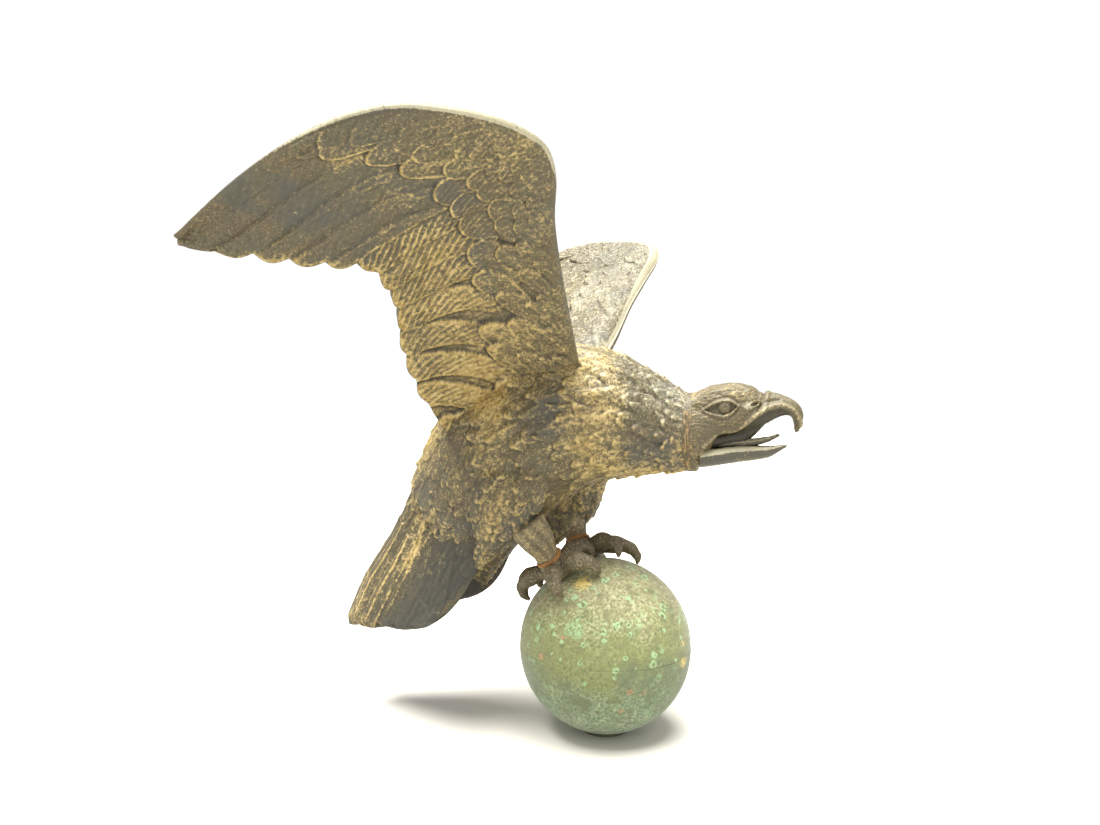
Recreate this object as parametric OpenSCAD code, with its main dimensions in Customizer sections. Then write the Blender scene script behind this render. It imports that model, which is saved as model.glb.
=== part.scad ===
// Eagle weather vane: a hollow moulded eagle with raised wings, standing on a copper ball.
// +X is the way the beak points, +Y is the bird's left, +Z is up.
// The origin is the foot of the spindle, on the axis that the vane turns about. All in mm.

/* [Ball] */
// outer radius of the copper ball
ball_radius = 75; // [70:1:80]
// wall of the spun ball halves
ball_wall = 1.6; // [1.2:0.1:2.2]
// height of the band inside the ball's seam
band_height = 12; // [8:1:18]

/* [Bearing] */
// outer radius of the bearing tube
tube_radius = 15; // [14.6:0.1:17]
// wall of the bearing tube
tube_wall = 2.5; // [1.5:0.1:2.9]
// radius of the spindle's lower journal
journal_radius = 9.5; // [9:0.1:10.2]
// radius of the spindle's upper shaft
shaft_radius = 7; // [6:0.1:8]
// radius of the socket for the mast rod
mast_radius = 6; // [5:0.1:6.5]
// depth of the socket for the mast rod
mast_depth = 35; // [25:1:40]
// radial play between spindle and bushes
running_play = 0.06; // [0.03:0.01:0.1]
// length of the lower bush
lower_bush_length = 26; // [15:1:28]
// length of the upper bush
upper_bush_length = 16; // [10:1:24]
// radius of the thrust ball on top of the spindle
thrust_radius = 5; // [4:0.1:6]
// thickness of the retaining clip
clip_thickness = 1.5; // [1:0.1:2]
// outer radius of the ferrule under the ball
ferrule_radius = 21; // [19:0.5:26]
// thickness of the ferrule
ferrule_thickness = 6; // [5:0.5:8]

/* [Body] */
// wall of the moulded body shells
body_wall = 2; // [1.4:0.1:2.8]
// seam between the right and left body shells
seam_gap = 0.2; // [0.1:0.05:0.3]
// half width of the trunk at the shoulders
trunk_half_width = 59; // [55:1:63]
// half width of the neck at the joint band
neck_half_width = 24.5; // [22:0.5:27]
// length of the joint band between neck and head
neck_band = 2.6; // [2:0.2:4]
// how far the joint band stands proud
neck_band_proud = 0.9; // [0.4:0.1:1.6]

/* [Wings] */
// wall of the wing skins
wing_wall = 1.6; // [1.2:0.1:2]
// half thickness of the rolled leading edge
leading_half = 8.5; // [7:0.5:10]
// half thickness at the feather tips
feather_half = 2.4; // [2:0.1:3.2]
// flight feathers that scallop the trailing edge
feather_count = 13; // [9:1:16]
// depth of the scallops
scallop_depth = 5; // [2:0.5:7]
// hollow of the wing between its edges
wing_camber = 9; // [4:1:14]
// how much thicker the leading edge is at the shoulder
shoulder_swell = 0.6; // [0.3:0.1:0.9]
// radius of the rod through both shoulders
wing_rod_radius = 2.5; // [2:0.1:3.2]

/* [Tail] */
// half thickness of the tail at its root
tail_half = 5; // [4:0.2:6.4]
// half width of the tail at its end
tail_half_width = 58; // [52:1:64]
// tail feathers on each side of the ridge
tail_feathers = 3; // [2:1:4]

/* [Legs] */
// how far behind the ball's axis the ankles stand
ankle_back = 42.5; // [40:0.5:45]
// how far each ankle stands to its side
ankle_side = 34; // [32:0.5:36]
// how far the left leg stands ahead of the right one
left_step = 8; // [4:1:14]
// how far the left thigh bulges ahead of its leg
thigh_lead = 26; // [20:1:30]
// how high the ankles stand over the ball's surface
ankle_rise = 23.4; // [22:0.2:25]
// height of the foot under the ankle
foot_height = 15; // [14:0.5:16]
// radius of the leg at the ankle
ankle_radius = 10; // [9:0.5:11]
// thickness of the toes
toe_radius = 6; // [5:0.25:7]
// radius of the rod through each leg
rod_radius = 3; // [2.5:0.1:3.5]
// radius of the wire round the ankles
wire_radius = 1.3; // [1:0.1:1.8]

/* [Hidden] */
seat = 0.2; // gap between pieces that are soldered face to face
ball_centre = ball_radius;
ball_inside = ball_radius - ball_wall;
tube_bore = tube_radius - tube_wall;
bush_radius = tube_bore - 0.02;
leg_reach = ball_radius + ankle_rise;
function ankle(side) = let (x = side > 0 ? left_step - ankle_back : -ankle_back)
    [x, -ankle_side, sqrt(leg_reach * leg_reach - x * x - ankle_side * ankle_side)];
leg_top = leg_reach + 27;
foot_top = ball_radius + foot_height;
drawn_height = 150; // the tables of points below are drawn over a ball this high
lift = 2 * ball_radius - drawn_height; // how far the bird rises when the ball grows
neck_end = 73; // where the neck meets its joint band
cap_bottom = 2 * ball_radius - 12;
cap_top = ball_centre + sqrt(ball_inside * ball_inside - tube_radius * tube_radius) - seat;
bush_top = ferrule_thickness + seat + lower_bush_length;

// trunk stations from the neck to the rump: top x, top z, bottom x, bottom z, half width, roundness
trunk = [
    [neck_end, 296, neck_end, 230, neck_half_width], [61, 302, 62, 228.5, neck_half_width + 2],
    [48, 310, 48, 227, neck_half_width + 8], [34, 319, 34, 225.5, trunk_half_width - 18, 0.8],
    [15, 329, 15, 223, trunk_half_width - 9, 0.7], [-8, 336, -8, 217, trunk_half_width - 3, 0.68],
    [-35, 338, -30, 206, trunk_half_width, 0.74], [-65, 333, -49, 191, trunk_half_width, 0.8],
    [-95, 320, -66, 175, trunk_half_width - 2], [-123, 303, -80, 160, trunk_half_width - 6],
    [-147, 281, -92, 147, trunk_half_width - 12], [-162, 258, -101, 137, trunk_half_width - 17],
    [-173, 235, -107, 129, trunk_half_width - 21], [-182, 213, -111, 122, trunk_half_width - 25]];
// thigh slices from the trunk down to the feather point: x, y, z, half length, half width
thigh = [
    [-70, -26, 246, 36, 20], [-73, -35, 228, 37, 23], [-77, -41, 208, 33, 21], [-79, -43, 192, 30, 18],
    [-81, -44, 178, 24, 14.5], [-88, -44.5, 166, 16, 11.5], [-96, -45, 155, 9, 7.5],
    [-102, -45, 144, 2.6, 2.6]];
brow_height = 292.5; // the crown of the head keeps its rise over the brow
// skull and upper beak from the joint band to the hook
skull = [
    [0, 296.5, 0, 230.5, neck_half_width], [4, brow_height + 4.5, 4, 231.5, neck_half_width + 0.5],
    [10, brow_height + 7, 11, 240, neck_half_width + 1],
    [18, brow_height + 10, 21, 256, neck_half_width + 1],
    [29, brow_height + 12, 32, 259.5, neck_half_width + 0.5],
    [39, brow_height + 11.5, 42, 262, neck_half_width - 1.5],
    [49, brow_height + 9, 51, 264.5, neck_half_width - 5.5],
    [55, 297.5, 57, 268, neck_half_width - 8.5],
    [61, 297.5, 63, 271.5, neck_half_width - 11], [70, 296, 71, 276, neck_half_width - 14],
    [79, 292.5, 77.5, 277.5, 8.6], [86, 287.5, 81, 275.5, 6.4], [89.8, 280, 82.5, 271, 4],
    [88, 271.5, 83.4, 266, 2.2], [86, 265, 84.6, 263.4, 0.7]];
jaw = [
    [9, 251, 7, 233, neck_half_width - 3.5], [24, 253, 23, 235.5, neck_half_width - 6],
    [36, 254.5, 36, 238, neck_half_width - 9], [49, 254.5, 49, 240, neck_half_width - 12.5],
    [62, 254, 62, 242.5, 8.4], [72, 253.4, 71, 247.4, 4.6], [77.4, 252.8, 77.2, 251.4, 0.8]];
tongue_slices = [
    [16, 257, 16, 252.4, 9], [34, 256.5, 34, 252.6, 7.5], [48, 256.8, 48, 253, 5.5],
    [60, 258.6, 60.6, 255.4, 3.6], [70, 261.6, 70.8, 260.4, 1.2]];

// right wing: leading edge and trailing edge from root to tip
leading = [
    [-14, -36, 320], [-8, -84, 350], [-3, -130, 384], [4, -172, 413], [12, -197, 436],
    [11, -212, 451], [2, -226, 458.5], [-14, -240, 464], [-37, -253, 468], [-66, -262, 470.5],
    [-98, -267, 466], [-132, -268, 455], [-165, -268, 439], [-196, -267, 420], [-223, -264, 400]];
trailing = [
    [-136, -30, 262], [-141, -58, 287], [-143, -78, 306], [-142, -98, 325], [-137, -119, 342],
    [-129, -139, 357], [-123, -159, 368], [-121, -177, 377], [-124, -194, 386], [-136, -205, 386],
    [-152, -218, 386], [-169, -231, 387], [-186, -243, 389], [-204, -254, 390], [-224, -263, 397]];
wing_rows = [0, 0.015, 0.05, 0.11, 0.2, 0.36, 0.54, 0.72, 0.88, 1];
// half thickness at each row, as a share of the leading edge's
wing_swell = [0.09, 0.46, 0.86, 1, 0.86, 0.55, 0.38, 0.3, 0.28, 0.2];
wing_columns = 50;
last_row = len(wing_rows) - 1;
rod_reach = 0.14;

// tail: ridge line and side edge from the rump to the end
tail_ridge = [[-166, 240], [-177, 214], [-188, 190], [-200, 166], [-215, 143], [-231, 119], [-251, 76]];
tail_edge = [[-94, 168], [-99, 154], [-104, 141], [-110, 129], [-118, 116], [-130, 103], [-146, 92]];
tail_across = 16;
tail_down = 9;

function mix(a, b, t) = a + (b - a) * t;
function between(list, t) =
    let (n = len(list) - 1, s = min(max(t, 0), 1) * n, i = min(floor(s), n - 1), f = s - i,
         p = list[max(i - 1, 0)], q = list[i], r = list[i + 1], w = list[min(i + 2, n)])
    q + 0.5 * f * (r - p + f * (2 * p - 5 * q + 4 * r - w + f * (3 * (q - r) + w - p)));
function unit(v) = v / norm(v);
function flat(lists) = [for (l = lists) each l];

// one slice: n points round an oval set by its top, its bottom and its half width
function slice(s, grow, n, x0) =
    let (mid = [x0 + (s[0] + s[2]) / 2, 0, (s[1] + s[3]) / 2],
         up = [(s[0] - s[2]) / 2, 0, (s[1] - s[3]) / 2], tall = max(norm(up) + grow, 0.3),
         wide = max(s[4] + grow, 0.3), dir = unit(up), round = len(s) > 5 ? s[5] : 0.86)
    [for (i = [0 : n - 1]) let (a = 360 * i / n, c = cos(a), d = sin(a))
        mid + dir * tall * c + [0, wide * sign(d) * pow(abs(d), round), 0]];

// closed skin over a row of slices of n points each
module skin(slices, n) {
    m = len(slices);
    ends = [for (s = [slices[0], slices[m - 1]]) [for (i = s) 1] * s / n];
    back = slices[0][0].x > slices[m - 1][0].x;
    sides = [for (j = [0 : m - 2], i = [0 : n - 1]) let (k = (i + 1) % n, a = j * n + i, b = j * n + k)
        each [[a, a + n, b], [b, a + n, b + n]]];
    caps = [for (i = [0 : n - 1]) let (k = (i + 1) % n)
        each [[m * n, i, k], [m * n + 1, (m - 1) * n + k, (m - 1) * n + i]]];
    faces = concat(sides, caps);
    polyhedron(concat(flat(slices), ends), back ? faces : [for (f = faces) [f[0], f[2], f[1]]]);
}

// closed plate between two grids of points of the same size
module plate(face, back) {
    m = len(face);
    n = len(face[0]);
    o = m * n;
    inner = [for (j = [0 : m - 2], i = [0 : n - 2]) let (a = j * n + i)
        each [[a, a + 1, a + n], [a + 1, a + n + 1, a + n],
              [o + a, o + a + n, o + a + 1], [o + a + 1, o + a + n, o + a + n + 1]]];
    loop = concat([for (i = [0 : n - 2]) i], [for (j = [0 : m - 2]) j * n + n - 1],
        [for (i = [n - 1 : -1 : 1]) (m - 1) * n + i], [for (j = [m - 1 : -1 : 1]) j * n]);
    rim = [for (i = [0 : len(loop) - 1]) let (a = loop[i], b = loop[(i + 1) % len(loop)])
        each [[a, o + a, b], [b, o + a, o + b]]];
    polyhedron(concat(flat(face), flat(back)), concat(inner, rim));
}

// ---- body ----
module trunk_solid(grow = 0, shift = 0) {
    last = len(trunk) - 1;
    skin([for (i = [0 : last]) slice(trunk[i], grow, 28,
        i == 0 ? -shift : i == last ? -shift * 0.5 : 0)], 28);
}
module thigh_slice(s, grow, side)
    translate([s[0] + (side > 0 ? left_step + thigh_lead : 0), s[1], s[2] + (s[2] < 150 ? -grow : 0)])
    scale([max(s[3] + grow, 0.4), max(s[4] + grow, 0.4), 1]) cylinder(r = 1, h = 0.2, $fn = 18);
module thigh_solid(grow, side) mirror([0, side > 0 ? 1 : 0, 0])
    for (i = [0 : len(thigh) - 2]) hull() for (s = [thigh[i], thigh[i + 1]]) thigh_slice(s, grow, side);
module body_solid(grow = 0, shift = 0) translate([0, 0, lift]) {
    trunk_solid(grow, shift);
    thigh_solid(grow, -1);
    thigh_solid(grow, 1);
}
module body_half(side) difference() {
    body_solid();
    body_solid(-body_wall, -body_wall * 3);
    mirror([0, side > 0 ? 1 : 0, 0]) translate([-400, -seam_gap / 2, 0]) cube([800, 300, 600]);
    leg_bore(rod_radius + 0.3);
    on_leg(side) ankle_wire(seat);
    wing_rod_solid(0.4);
}
module body_right_shell() color("#5a5240") body_half(-1);
module body_left_shell() color("#625a46") body_half(1);

module band_shape(grow) polygon([for (p = slice(trunk[0], grow, 28, 0)) [p.y, p.z]]);
module neck_ring() color("#8a6a3c")
    translate([neck_end + seat, 0, lift]) rotate([90, 0, 90]) linear_extrude(neck_band) difference() {
        band_shape(neck_band_proud);
        band_shape(-body_wall * 2);
    }

// ---- head ----
head_start = neck_end + neck_band + 2 * seat;
module skull_solid(grow = 0, count = 0) translate([0, 0, lift]) {
    n = count > 0 ? count : len(skull);
    skin([for (i = [0 : n - 1]) slice(skull[i], grow, 24, head_start)], 24);
}
module brow(side) for (i = [0 : 3]) hull() for (k = [i, i + 1])
    translate([head_start + 12 + 7.5 * k, side * (neck_half_width - 3 - 0.32 * k * k),
        lift + brow_height - 1.1 * abs(k - 1)])
        scale([1.2, 1, 0.8]) sphere(r = 2.6 - 0.25 * abs(k - 2), $fn = 14);
module head_solid(grow = 0) {
    skull_solid(grow);
    brow(1);
    brow(-1);
}
module head_shell() color("#4e4a3c") difference() {
    head_solid();
    translate([-3, 0, 0]) skull_solid(-body_wall - 0.6, 7);
    translate([-1, 0, 0]) skull_solid(-body_wall, 2);
}
module jaw_solid() translate([0, 0, lift]) skin([for (s = jaw) slice(s, 0, 20, head_start)], 20);
module lower_jaw() color("#46423a") difference() {
    jaw_solid();
    head_solid(seat);
    tongue_solid(2 * seat, seat);
}
module tongue_solid(grow = 0, shift = 0) translate([0, 0, lift])
    skin([for (i = [0 : len(tongue_slices) - 1])
        slice(tongue_slices[i], grow, 16, head_start - (i == 0 ? shift : 0))], 16);
module tongue() color("#5c4a3c") difference() {
    tongue_solid();
    head_solid(seat);
}

// ---- wings ----
function trail_at(u) = let (l = between(leading, u), t = between(trailing, u),
    drop = abs(sin(180 * feather_count * u)) - 0.4)
    t + unit(t - l) * scallop_depth * drop * min(1, 8 * u) * min(1, 5 * (1.04 - u));
function wing_out(u, v) = let (l = between(leading, u), t = between(trailing, u))
    unit(cross(t - l, between(leading, min(u + 0.02, 1)) - between(leading, max(u - 0.02, 0))
        + between(trailing, min(u + 0.02, 1)) - between(trailing, max(u - 0.02, 0))));
function wing_mid(u, v) = mix(between(leading, u), trail_at(u), v)
    + wing_out(u, v) * wing_camber * sin(180 * pow(v, 0.8)) * (1 - 0.5 * u);
function wing_half(u, r) = let (h = leading_half * wing_swell[r] * (1 - 0.45 * u)
    * (1 + shoulder_swell * max(0, 1 - u / 0.3)))
    max(h, r == 0 ? 0.8 : r == last_row ? feather_half * 0.6 : feather_half);
function wing_grid(side, inner) = [for (i = [0 : wing_columns]) let (u = i / wing_columns)
    [for (r = [0 : last_row]) let (h = wing_half(u, r), d = inner ? max(h - wing_wall, 0.1) : h)
        wing_mid(u, wing_rows[r]) + wing_out(u, 0) * side * d]];
module wing_skin(side, hand) difference() {
    mirror([0, hand > 0 ? 1 : 0, 0]) translate([0, 0, lift])
        if (side > 0) plate(wing_grid(side, true), wing_grid(side, false));
        else plate(wing_grid(side, false), wing_grid(side, true));
    body_solid(seat, 0);
    wing_rod_solid(0.3);
}
module right_wing_outer() color("#5d5238") wing_skin(-1, -1);
module right_wing_inner() color("#75684a") wing_skin(1, -1);
module left_wing_outer() color("#5d5238") wing_skin(-1, 1);
module left_wing_inner() color("#75684a") wing_skin(1, 1);

// round rod bent to the wings' rise, through both shoulders
function rod_point(u) = wing_mid(u, 0.12);
module wing_rod_solid(grow = 0) translate([0, 0, lift]) {
    a = rod_point(0);
    b = rod_point(rod_reach);
    peak = [a.x + (b.x - a.x) * a.y / (a.y - b.y), 0, a.z + (b.z - a.z) * a.y / (a.y - b.y)];
    way = unit(b - peak);
    for (side = [-1, 1]) mirror([0, side > 0 ? 1 : 0, 0]) intersection() {
        translate(peak) rotate([0, acos(way.z), atan2(way.y, way.x)]) translate([0, 0, -20])
            cylinder(r = wing_rod_radius + grow, h = norm(b - peak) + 20 + grow, $fn = 40);
        translate([-200, -400, 0]) cube([400, 400, 600]);
    }
}
module wing_rod() color("#6b6b6b") wing_rod_solid();

// ---- tail ----
function tail_mid(t, v) = let (r = between(tail_ridge, t), e = between(tail_edge, t), a = abs(v),
    w = pow(a, 1.45), end = 1 + 0.035 * (abs(sin(180 * tail_feathers * a)) - 0.5) * t,
    wide = mix(trunk_half_width - 23, tail_half_width, pow(t, 0.8)))
    [mix(r.x, e.x, w), sign(v) * wide * pow(a, 0.8), mix(r.y, e.y, w)]
    + [-24, 0, -66] * (end - 1) * (t > 0.9 ? 1 : 0);
function tail_out(t, v) = unit(cross(
    tail_mid(t, min(v + 0.05, 1)) - tail_mid(t, max(v - 0.05, -1)),
    tail_mid(min(t + 0.05, 0.9), v) - tail_mid(max(min(t, 0.9) - 0.05, 0), v)));
function tail_swell(t, v) = max(tail_half * (1 - 0.45 * t) * (1 - 0.5 * pow(abs(v), 3)), 1.2)
    * (t > 0.98 ? 0.55 : 1) * (abs(v) > 0.98 ? 0.5 : 1);
function tail_grid(side, inner) = [for (j = [0 : tail_down]) let (t = pow(j / tail_down, 0.9))
    [for (i = [-tail_across : tail_across]) let (v = i / tail_across, h = tail_swell(t, v),
        d = inner ? max(h - wing_wall, 0.1) : h) tail_mid(t, v) + tail_out(t, v) * side * d]];
module tail_skin(side) difference() {
    translate([0, 0, lift]) if (side > 0) plate(tail_grid(side, true), tail_grid(side, false));
    else plate(tail_grid(side, false), tail_grid(side, true));
    body_solid(seat, 0);
}
module tail_upper() color("#6a5c3e") tail_skin(1);
module tail_under() color("#4a4438") tail_skin(-1);

// ---- legs and feet: drawn along a line from the ball's centre through the ankle ----
module on_leg(side) let (a = ankle(side)) mirror([0, side > 0 ? 1 : 0, 0])
    translate([0, 0, ball_centre]) rotate([0, 0, atan2(a.y, a.x)])
    rotate([0, atan2(norm([a.x, a.y]), a.z), 0]) children();
module leg_bore(r) for (side = [-1, 1]) on_leg(side) cylinder(r = r, h = leg_reach + 46, $fn = 32);
module leg_slice(z, r, dx, stretch) translate([dx, 0, z]) scale([stretch, 1, 1])
    cylinder(r = r, h = 0.2, $fn = 24);
leg_slices = [[foot_top + seat, ankle_radius, 0, 1.1], [leg_reach - 2, ankle_radius - 1.5, 0, 1.05],
    [leg_reach + 6, ankle_radius - 0.8, 0, 1.05], [leg_reach + 14, ankle_radius + 1.5, 1, 1.1],
    [leg_reach + 20, ankle_radius + 2.5, 1, 1.1], [leg_top, ankle_radius + 3, 0, 1.1]];
module leg(side) difference() {
    on_leg(side) for (i = [0 : len(leg_slices) - 2]) hull() for (s = [leg_slices[i], leg_slices[i + 1]])
        leg_slice(s[0], s[1], s[2], s[3]);
    body_solid(seat, 0);
    leg_bore(rod_radius + 0.3);
    on_leg(side) ankle_wire(0.15);
}
module ankle_wire(grow = 0) translate([0, 0, leg_reach - 2])
    rotate_extrude($fn = 48) translate([ankle_radius + 0.4, 0]) circle(r = wire_radius + grow, $fn = 20);
module right_leg() color("#4c463c") leg(-1);
module left_leg() color("#4c463c") leg(1);
module right_ankle_ring() color("#a5552e") on_leg(-1) ankle_wire();
module left_ankle_ring() color("#a5552e") on_leg(1) ankle_wire();

// a toe runs out from the foot over the ball and ends in a claw: heading, reach and lift along it
function over_ball(heading, arc, lift) = let (r = ball_radius + lift)
    [r * sin(arc) * cos(heading), r * sin(arc) * sin(heading), r * cos(arc)];
toe_arc = [4, 11, 19, 25, 29, 30.5];
toe_lift = [1.3, 1.4, 1.6, 1.5, 0.8, 0.25];
toe_thick = [1.2, 1.05, 1, 0.8, 0.5, 0.16];
module toe(heading, size) for (i = [0 : 4]) hull() for (k = [i, i + 1])
    translate(over_ball(heading, toe_arc[k] * size, toe_lift[k] * toe_radius))
        sphere(r = toe_radius * toe_thick[k], $fn = 10);
hub_height = foot_height * 0.4;
module foot(side, headings) difference() {
    on_leg(side) {
        difference() {
            union() {
                translate([0, 0, ball_radius + hub_height])
                    cylinder(r = ankle_radius + 0.5, h = foot_height - hub_height, $fn = 24);
                translate([0, 0, ball_radius + hub_height]) scale([1.15, 1.05, 0.75])
                    sphere(r = ankle_radius + 1, $fn = 20);
            }
            sphere(r = ball_radius + seat, $fn = 72);
        }
        for (h = headings) toe(h[0], h[1]);
    }
    leg_bore(rod_radius + 0.3);
}
right_toes = [[60, 0.68], [128, 0.9], [196, 0.95], [-48, 1.1]];
left_toes = [[60, 0.9], [124, 1.3], [160, 1.02], [-48, 1.1]];
module right_foot() color("#46413a") foot(-1, right_toes);
module left_foot() color("#46413a") foot(1, left_toes);

washer_top = ball_inside - 0.5;
module leg_rods() color("#8d8d8d") for (side = [-1, 1]) on_leg(side) translate([0, 0, washer_top - 8])
    cylinder(r = rod_radius, h = leg_reach + 44 - washer_top + 8, $fn = 48);
module rod_washers() color("#9a9a9a") for (side = [-1, 1]) on_leg(side)
    translate([0, 0, washer_top - 1.5]) difference() {
        cylinder(r = rod_radius * 2.2, h = 1.5, $fn = 48);
        translate([0, 0, -1]) cylinder(r = rod_radius + 0.05, h = 4, $fn = 48);
    }
module rod_nuts() color("#7f7f7f") for (side = [-1, 1]) on_leg(side)
    translate([0, 0, washer_top - 1.6 - rod_radius * 1.6]) difference() {
        cylinder(r = rod_radius * 1.9, h = rod_radius * 1.6, $fn = 6);
        translate([0, 0, -1]) cylinder(r = rod_radius + 0.05, h = rod_radius * 2 + 2, $fn = 48);
    }

// ---- ball and bearing ----
module ball_half(upper) difference() {
    rotate_extrude($fn = 96) difference() {
        translate([0, ball_centre]) circle(r = ball_radius, $fn = 180);
        translate([0, ball_centre]) circle(r = ball_inside, $fn = 180);
        translate([-200, -10]) square([200, 400]);
        if (upper) translate([-1, -10]) square([200, ball_centre + 10 + 0.05]);
        else translate([-1, ball_centre - 0.05]) square([200, 200]);
        if (!upper) translate([-1, -10]) square([ferrule_radius + 1.05, 40]);
    }
    if (upper) leg_bore(rod_radius + 0.1);
}
module ball_upper_half() color("#7f9a68") ball_half(true);
module ball_lower_half() color("#5f8d6c") ball_half(false);
module ball_band() color("#b0713f") rotate_extrude($fn = 96) intersection() {
    difference() {
        translate([0, ball_centre]) circle(r = ball_inside - 0.05, $fn = 180);
        translate([0, ball_centre]) circle(r = ball_inside - 1.6, $fn = 180);
    }
    translate([1, ball_centre - band_height / 2]) square([200, band_height]);
}
module bottom_ferrule() color("#a9793f") rotate_extrude($fn = 96)
    translate([journal_radius + 0.5, 0]) square([ferrule_radius - journal_radius - 0.5, ferrule_thickness]);
module bearing_tube() color("#b98d4a") rotate_extrude($fn = 96)
    translate([tube_bore, ferrule_thickness + 0.05]) square([tube_wall, cap_top - ferrule_thickness - 0.05]);
module tube_cap() color("#a07a42") rotate_extrude($fn = 96) difference() {
    translate([0, cap_bottom]) square([bush_radius, cap_top - cap_bottom]);
    translate([0, cap_bottom - thrust_radius + 3]) circle(r = thrust_radius + 0.3, $fn = 64);
}
module lower_bush() color("#c79a52") rotate_extrude($fn = 96)
    translate([journal_radius + running_play, ferrule_thickness + 0.05])
        square([bush_radius - journal_radius - running_play, lower_bush_length]);
module upper_bush() color("#c79a52") rotate_extrude($fn = 96)
    translate([shaft_radius + running_play, cap_bottom - 6 - upper_bush_length])
        square([bush_radius - shaft_radius - running_play, upper_bush_length]);
clip_bottom = bush_top + 0.3;
groove = 0.9;
thrust_height = cap_bottom - thrust_radius + 3;
module spindle() color("#8f9296") rotate_extrude($fn = 96) difference() {
    union() {
        square([journal_radius, clip_bottom + clip_thickness + 4]);
        translate([0, 10]) square([shaft_radius, thrust_height - 10 - 1]);
    }
    translate([-1, -1]) square([mast_radius + 1, mast_depth + 1]);
    translate([journal_radius - groove, clip_bottom - 0.05]) square([5, clip_thickness + 0.1]);
    translate([0, thrust_height]) circle(r = thrust_radius + 0.02, $fn = 64);
}
module retaining_clip() color("#6e7276") rotate_extrude($fn = 96)
    translate([journal_radius - groove + 0.02, clip_bottom])
        square([groove + 1.8, clip_thickness]);
module thrust_ball() color("#c9ccd0") translate([0, 0, thrust_height]) sphere(r = thrust_radius, $fn = 64);

ball_upper_half();
ball_lower_half();
ball_band();
bottom_ferrule();
bearing_tube();
tube_cap();
lower_bush();
upper_bush();
spindle();
retaining_clip();
thrust_ball();
body_right_shell();
body_left_shell();
neck_ring();
head_shell();
lower_jaw();
tongue();
right_wing_outer();
right_wing_inner();
left_wing_outer();
left_wing_inner();
wing_rod();
tail_upper();
tail_under();
right_leg();
left_leg();
right_ankle_ring();
left_ankle_ring();
right_foot();
left_foot();
leg_rods();
rod_washers();
rod_nuts();
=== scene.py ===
# Looks of the eagle weather vane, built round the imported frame.
# Points below are in millimetres in the frame's axes; +X is the way the beak points.
import math

import bmesh
import bpy
import numpy as np
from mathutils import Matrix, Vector


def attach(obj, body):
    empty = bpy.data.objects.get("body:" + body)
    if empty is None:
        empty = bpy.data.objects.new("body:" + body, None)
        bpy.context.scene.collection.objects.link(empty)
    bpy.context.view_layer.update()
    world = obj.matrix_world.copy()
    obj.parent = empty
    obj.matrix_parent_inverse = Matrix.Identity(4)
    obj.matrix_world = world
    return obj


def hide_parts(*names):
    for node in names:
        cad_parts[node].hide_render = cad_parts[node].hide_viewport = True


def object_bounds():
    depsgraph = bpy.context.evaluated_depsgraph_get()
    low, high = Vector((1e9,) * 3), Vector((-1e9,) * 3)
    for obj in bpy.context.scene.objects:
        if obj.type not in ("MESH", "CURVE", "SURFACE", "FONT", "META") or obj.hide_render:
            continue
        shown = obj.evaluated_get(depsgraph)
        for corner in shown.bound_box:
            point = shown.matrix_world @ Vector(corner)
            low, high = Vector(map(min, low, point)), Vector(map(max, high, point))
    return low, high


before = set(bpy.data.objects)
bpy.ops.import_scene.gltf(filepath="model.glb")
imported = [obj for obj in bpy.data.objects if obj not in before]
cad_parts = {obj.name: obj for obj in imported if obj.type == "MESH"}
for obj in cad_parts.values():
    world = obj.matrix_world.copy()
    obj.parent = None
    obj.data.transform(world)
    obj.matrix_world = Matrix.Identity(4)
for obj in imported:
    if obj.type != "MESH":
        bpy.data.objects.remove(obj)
cadBox = [list(corner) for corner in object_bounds()]
mm = 0.001
insideBox = 1e-5
print("frame loaded with", len(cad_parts), "nodes")


# curves and noise
def between(points, t):
    # smooth curve through evenly spaced points, t from 0 to 1
    pts = np.array(points, float)
    n = len(pts) - 1
    s = np.clip(np.asarray(t, float), 0, 1) * n
    i = np.minimum(np.floor(s), n - 1).astype(int)
    f = (s - i)[..., None]
    p, q, r, w = pts[np.maximum(i - 1, 0)], pts[i], pts[i + 1], pts[np.minimum(i + 2, n)]
    return q + 0.5 * f * (r - p + f * (2 * p - 5 * q + 4 * r - w + f * (3 * (q - r) + w - p)))


def ease(xs, ys, x):
    # smooth curve through unevenly spaced values
    x = np.asarray(x, float)
    fine = np.linspace(xs[0], xs[-1], 400)
    line = np.interp(fine, xs, ys)
    for _ in range(60):
        line[1:-1] = 0.25 * line[:-2] + 0.5 * line[1:-1] + 0.25 * line[2:]
    return np.interp(x, fine, line)


def unit(v):
    return v / np.maximum(np.linalg.norm(v, axis=-1, keepdims=True), 1e-9)


def step(a, b, x):
    t = np.clip((x - a) / (b - a), 0, 1)
    return t * t * (3 - 2 * t)


def bell(x):
    return np.exp(-(x**2))


def turn(count):
    # evenly spaced angles once round
    return np.linspace(0, 2 * math.pi, count, endpoint=False)


def grid(a, b):
    return np.meshgrid(a, b, indexing="ij")


def latticeNoise(points, cell, seed):
    # smooth noise from -1 to 1 on a lattice of that cell size
    p = np.asarray(points, float) / cell
    base = np.floor(p).astype(np.int64)
    f = p - base
    f = f * f * (3 - 2 * f)
    total = np.zeros(len(p))
    for corner in range(8):
        offset = np.array([corner & 1, corner >> 1 & 1, corner >> 2 & 1])
        q = base + offset
        h = (q[:, 0] * 73856093) ^ (q[:, 1] * 19349663) ^ (q[:, 2] * 83492791) ^ (seed * 40503)
        h = ((h ^ (h >> 13)) * 1274126177) & 0x7FFFFFFF
        h = ((h ^ (h >> 15)) * 668265263) & 0xFFFF
        w = np.prod(np.where(offset, f, 1 - f), axis=1)
        total += w * (h / 32767.5 - 1)
    return total


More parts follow.
